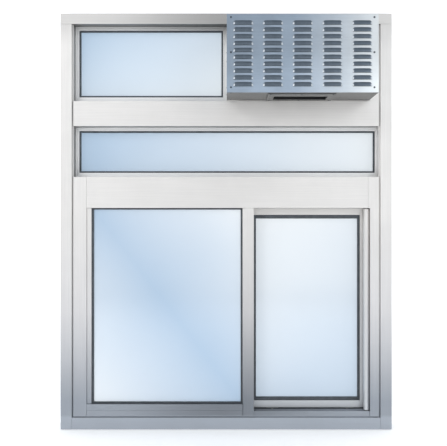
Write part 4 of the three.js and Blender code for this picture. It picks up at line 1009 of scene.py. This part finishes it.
# Painted shade: a darker copy of the galvanised sheet for the scroll and vane inside the unit.
dark_zinc = galvanised("scroll_sheet", (0.13, 0.135, 0.14, 1))
motor_enamel = enamel("motor_enamel", (0.035, 0.05, 0.07, 1), 0.35)
finished("scroll_housing", "scroll_shell", "frame", "zinc_sheet", dark_zinc, 0.35 * MM)
finished("blower_wheel", "blower_wheel_cage", "blower_rotor", "zinc_sheet", zinc_sheet,
         0.2 * MM, 1)
finished("blower_shaft", "blower_shaft_rod", "blower_rotor", "bright_steel", bright_steel,
         0.8 * MM)
finished("air_vane", "air_vane_blade", "air_vane", "zinc_sheet", dark_zinc, 0.5 * MM)
finished("motor_body", "motor_shell", "frame", "motor_enamel", motor_enamel, 1.2 * MM, 3)
finished("motor_cradle", "motor_cradle_fold", "frame", "zinc_sheet", zinc_sheet, 0.6 * MM)
finished("bearing_bracket", "pillow_bearing", "frame", "steel_parts", plated_steel, 1.2 * MM)
finished("back_plate", "back_plate_sheet", "frame", "zinc_sheet", zinc_sheet, 0.4 * MM)
motor_low, motor_high = span("motor_body")
motor_middle = (motor_low + motor_high) / 2
BOLT_CIRCLE = 33.0
bolt_turns = [math.pi / 4 + quarter * math.pi / 2 for quarter in range(4)]
screws("motor_bolts", [(motor_high.x, motor_middle.y + BOLT_CIRCLE * math.cos(turn),
                        motor_middle.z + BOLT_CIRCLE * math.sin(turn)) for turn in bolt_turns],
       (1, 0, 0), "frame", LARGE_SCREW_HEAD)


# ---- Intake filter ----------------------------------------------------------
# Washable open-cell foam pad, cut a little full and pressed into the casing behind the
# louvres, where the air goes in.
filter_foam, foam_shader, foam_place = new_material("filter_foam", 0, 0.95)
cells = add_node(filter_foam, "TexVoronoi", {"Vector": foam_place, "Scale": 520.0},
                 feature="DISTANCE_TO_EDGE").outputs["Distance"]
open_cells = spread(filter_foam, cells, 0.02, 0.22, 1.0, 0.0)
link(filter_foam, mix_colours(filter_foam, open_cells, (0.012, 0.014, 0.016, 1),
                              (0.07, 0.075, 0.08, 1)), foam_shader, "Base Color")
use_bump(filter_foam, foam_shader, open_cells, 0.7, 0.5 * MM)
finished("intake_filter", "intake_filter_pad", "frame", "filter_media", filter_foam, 2.0 * MM, 3)


# ---- Electrics --------------------------------------------------------------
# Steel junction box with a screwed lid, the motor's run capacitor, a bushing for the
# supply and a rocker switch snapped into the side of the casing.
def moulded(name, colour, roughness):
    material, shader, place = new_material(name, 0, roughness)
    texture = noise(material, place, 1400.0, 3.0)
    sheen = noise(material, place, 45.0, 3.0)
    paler = tuple(c * 1.5 + 0.006 for c in colour[:3]) + (1,)
    link(material, mix_colours(material, spread(material, sheen, 0.4, 0.7, 0.0, 0.7),
                               colour, paler), shader, "Base Color")
    link(material, spread(material, sheen, 0.3, 0.7, roughness - 0.06, roughness + 0.1),
         shader, "Roughness")
    use_bump(material, shader, texture, 0.2, 0.06 * MM)
    return material


black_nylon = moulded("black_nylon", (0.018, 0.019, 0.021, 1), 0.48)
rocker_plastic = moulded("rocker_plastic", (0.03, 0.031, 0.034, 1), 0.3)
finished("conduit_bushing", "supply_bushing", "frame", "black_plastic", black_nylon, 0.9 * MM, 3)
finished("switch_body", "switch_housing", "frame", "black_plastic", black_nylon, 0.7 * MM, 3)
finished("switch_rocker", "switch_rocker_cap", "switch_rocker", "black_plastic",
         rocker_plastic, 0.8 * MM, 3)
finished("run_capacitor", "run_capacitor_can", "frame", "bright_steel", bright_steel, 0.7 * MM, 3)
finished("junction_box", "junction_box_shell", "frame", "zinc_sheet", zinc_sheet, 0.5 * MM)
LID_GAUGE = 1.2
LID_STAND = 0.8
LID_RIM = 6 * MM
LID_STEP = 1 * MM
LID_RISE = 0.5 * MM
LID_EDGE = 0.3 * MM
LID_SCREW_X = 34
LID_SCREW_Z = 29
LID_SCREW_HEAD = 1.9 * MM
lid_low, lid_high = span("junction_box")
lid_back = lid_low.y - LID_STAND
lid_front = lid_back - LID_GAUGE
lid = slab("junction_box_lid", Vector((lid_low.x, lid_front, lid_low.z)) * MM,
           Vector((lid_high.x, lid_back, lid_high.z)) * MM)
bpy.ops.object.mode_set(mode="EDIT")
bpy.ops.mesh.select_mode(type="FACE")
bpy.ops.mesh.select_all(action="DESELECT")
bpy.ops.object.mode_set(mode="OBJECT")
for face in lid.data.polygons:
    face.select = face.normal.y < -0.9
bpy.ops.object.mode_set(mode="EDIT")
bpy.ops.mesh.inset(thickness=LID_RIM, depth=0)
bpy.ops.mesh.inset(thickness=LID_STEP, depth=LID_RISE)
bpy.ops.object.mode_set(mode="OBJECT")
break_edges(lid, LID_EDGE)
fit(lid, "frame", "zinc_sheet", zinc_sheet)
lid_middle = (lid_low + lid_high) / 2
screws("lid_screws", [(lid_middle.x + way * LID_SCREW_X, lid_front,
                       lid_middle.z + way * LID_SCREW_Z) for way in (-1, 1)],
       (0, -1, 0), "frame", LID_SCREW_HEAD)
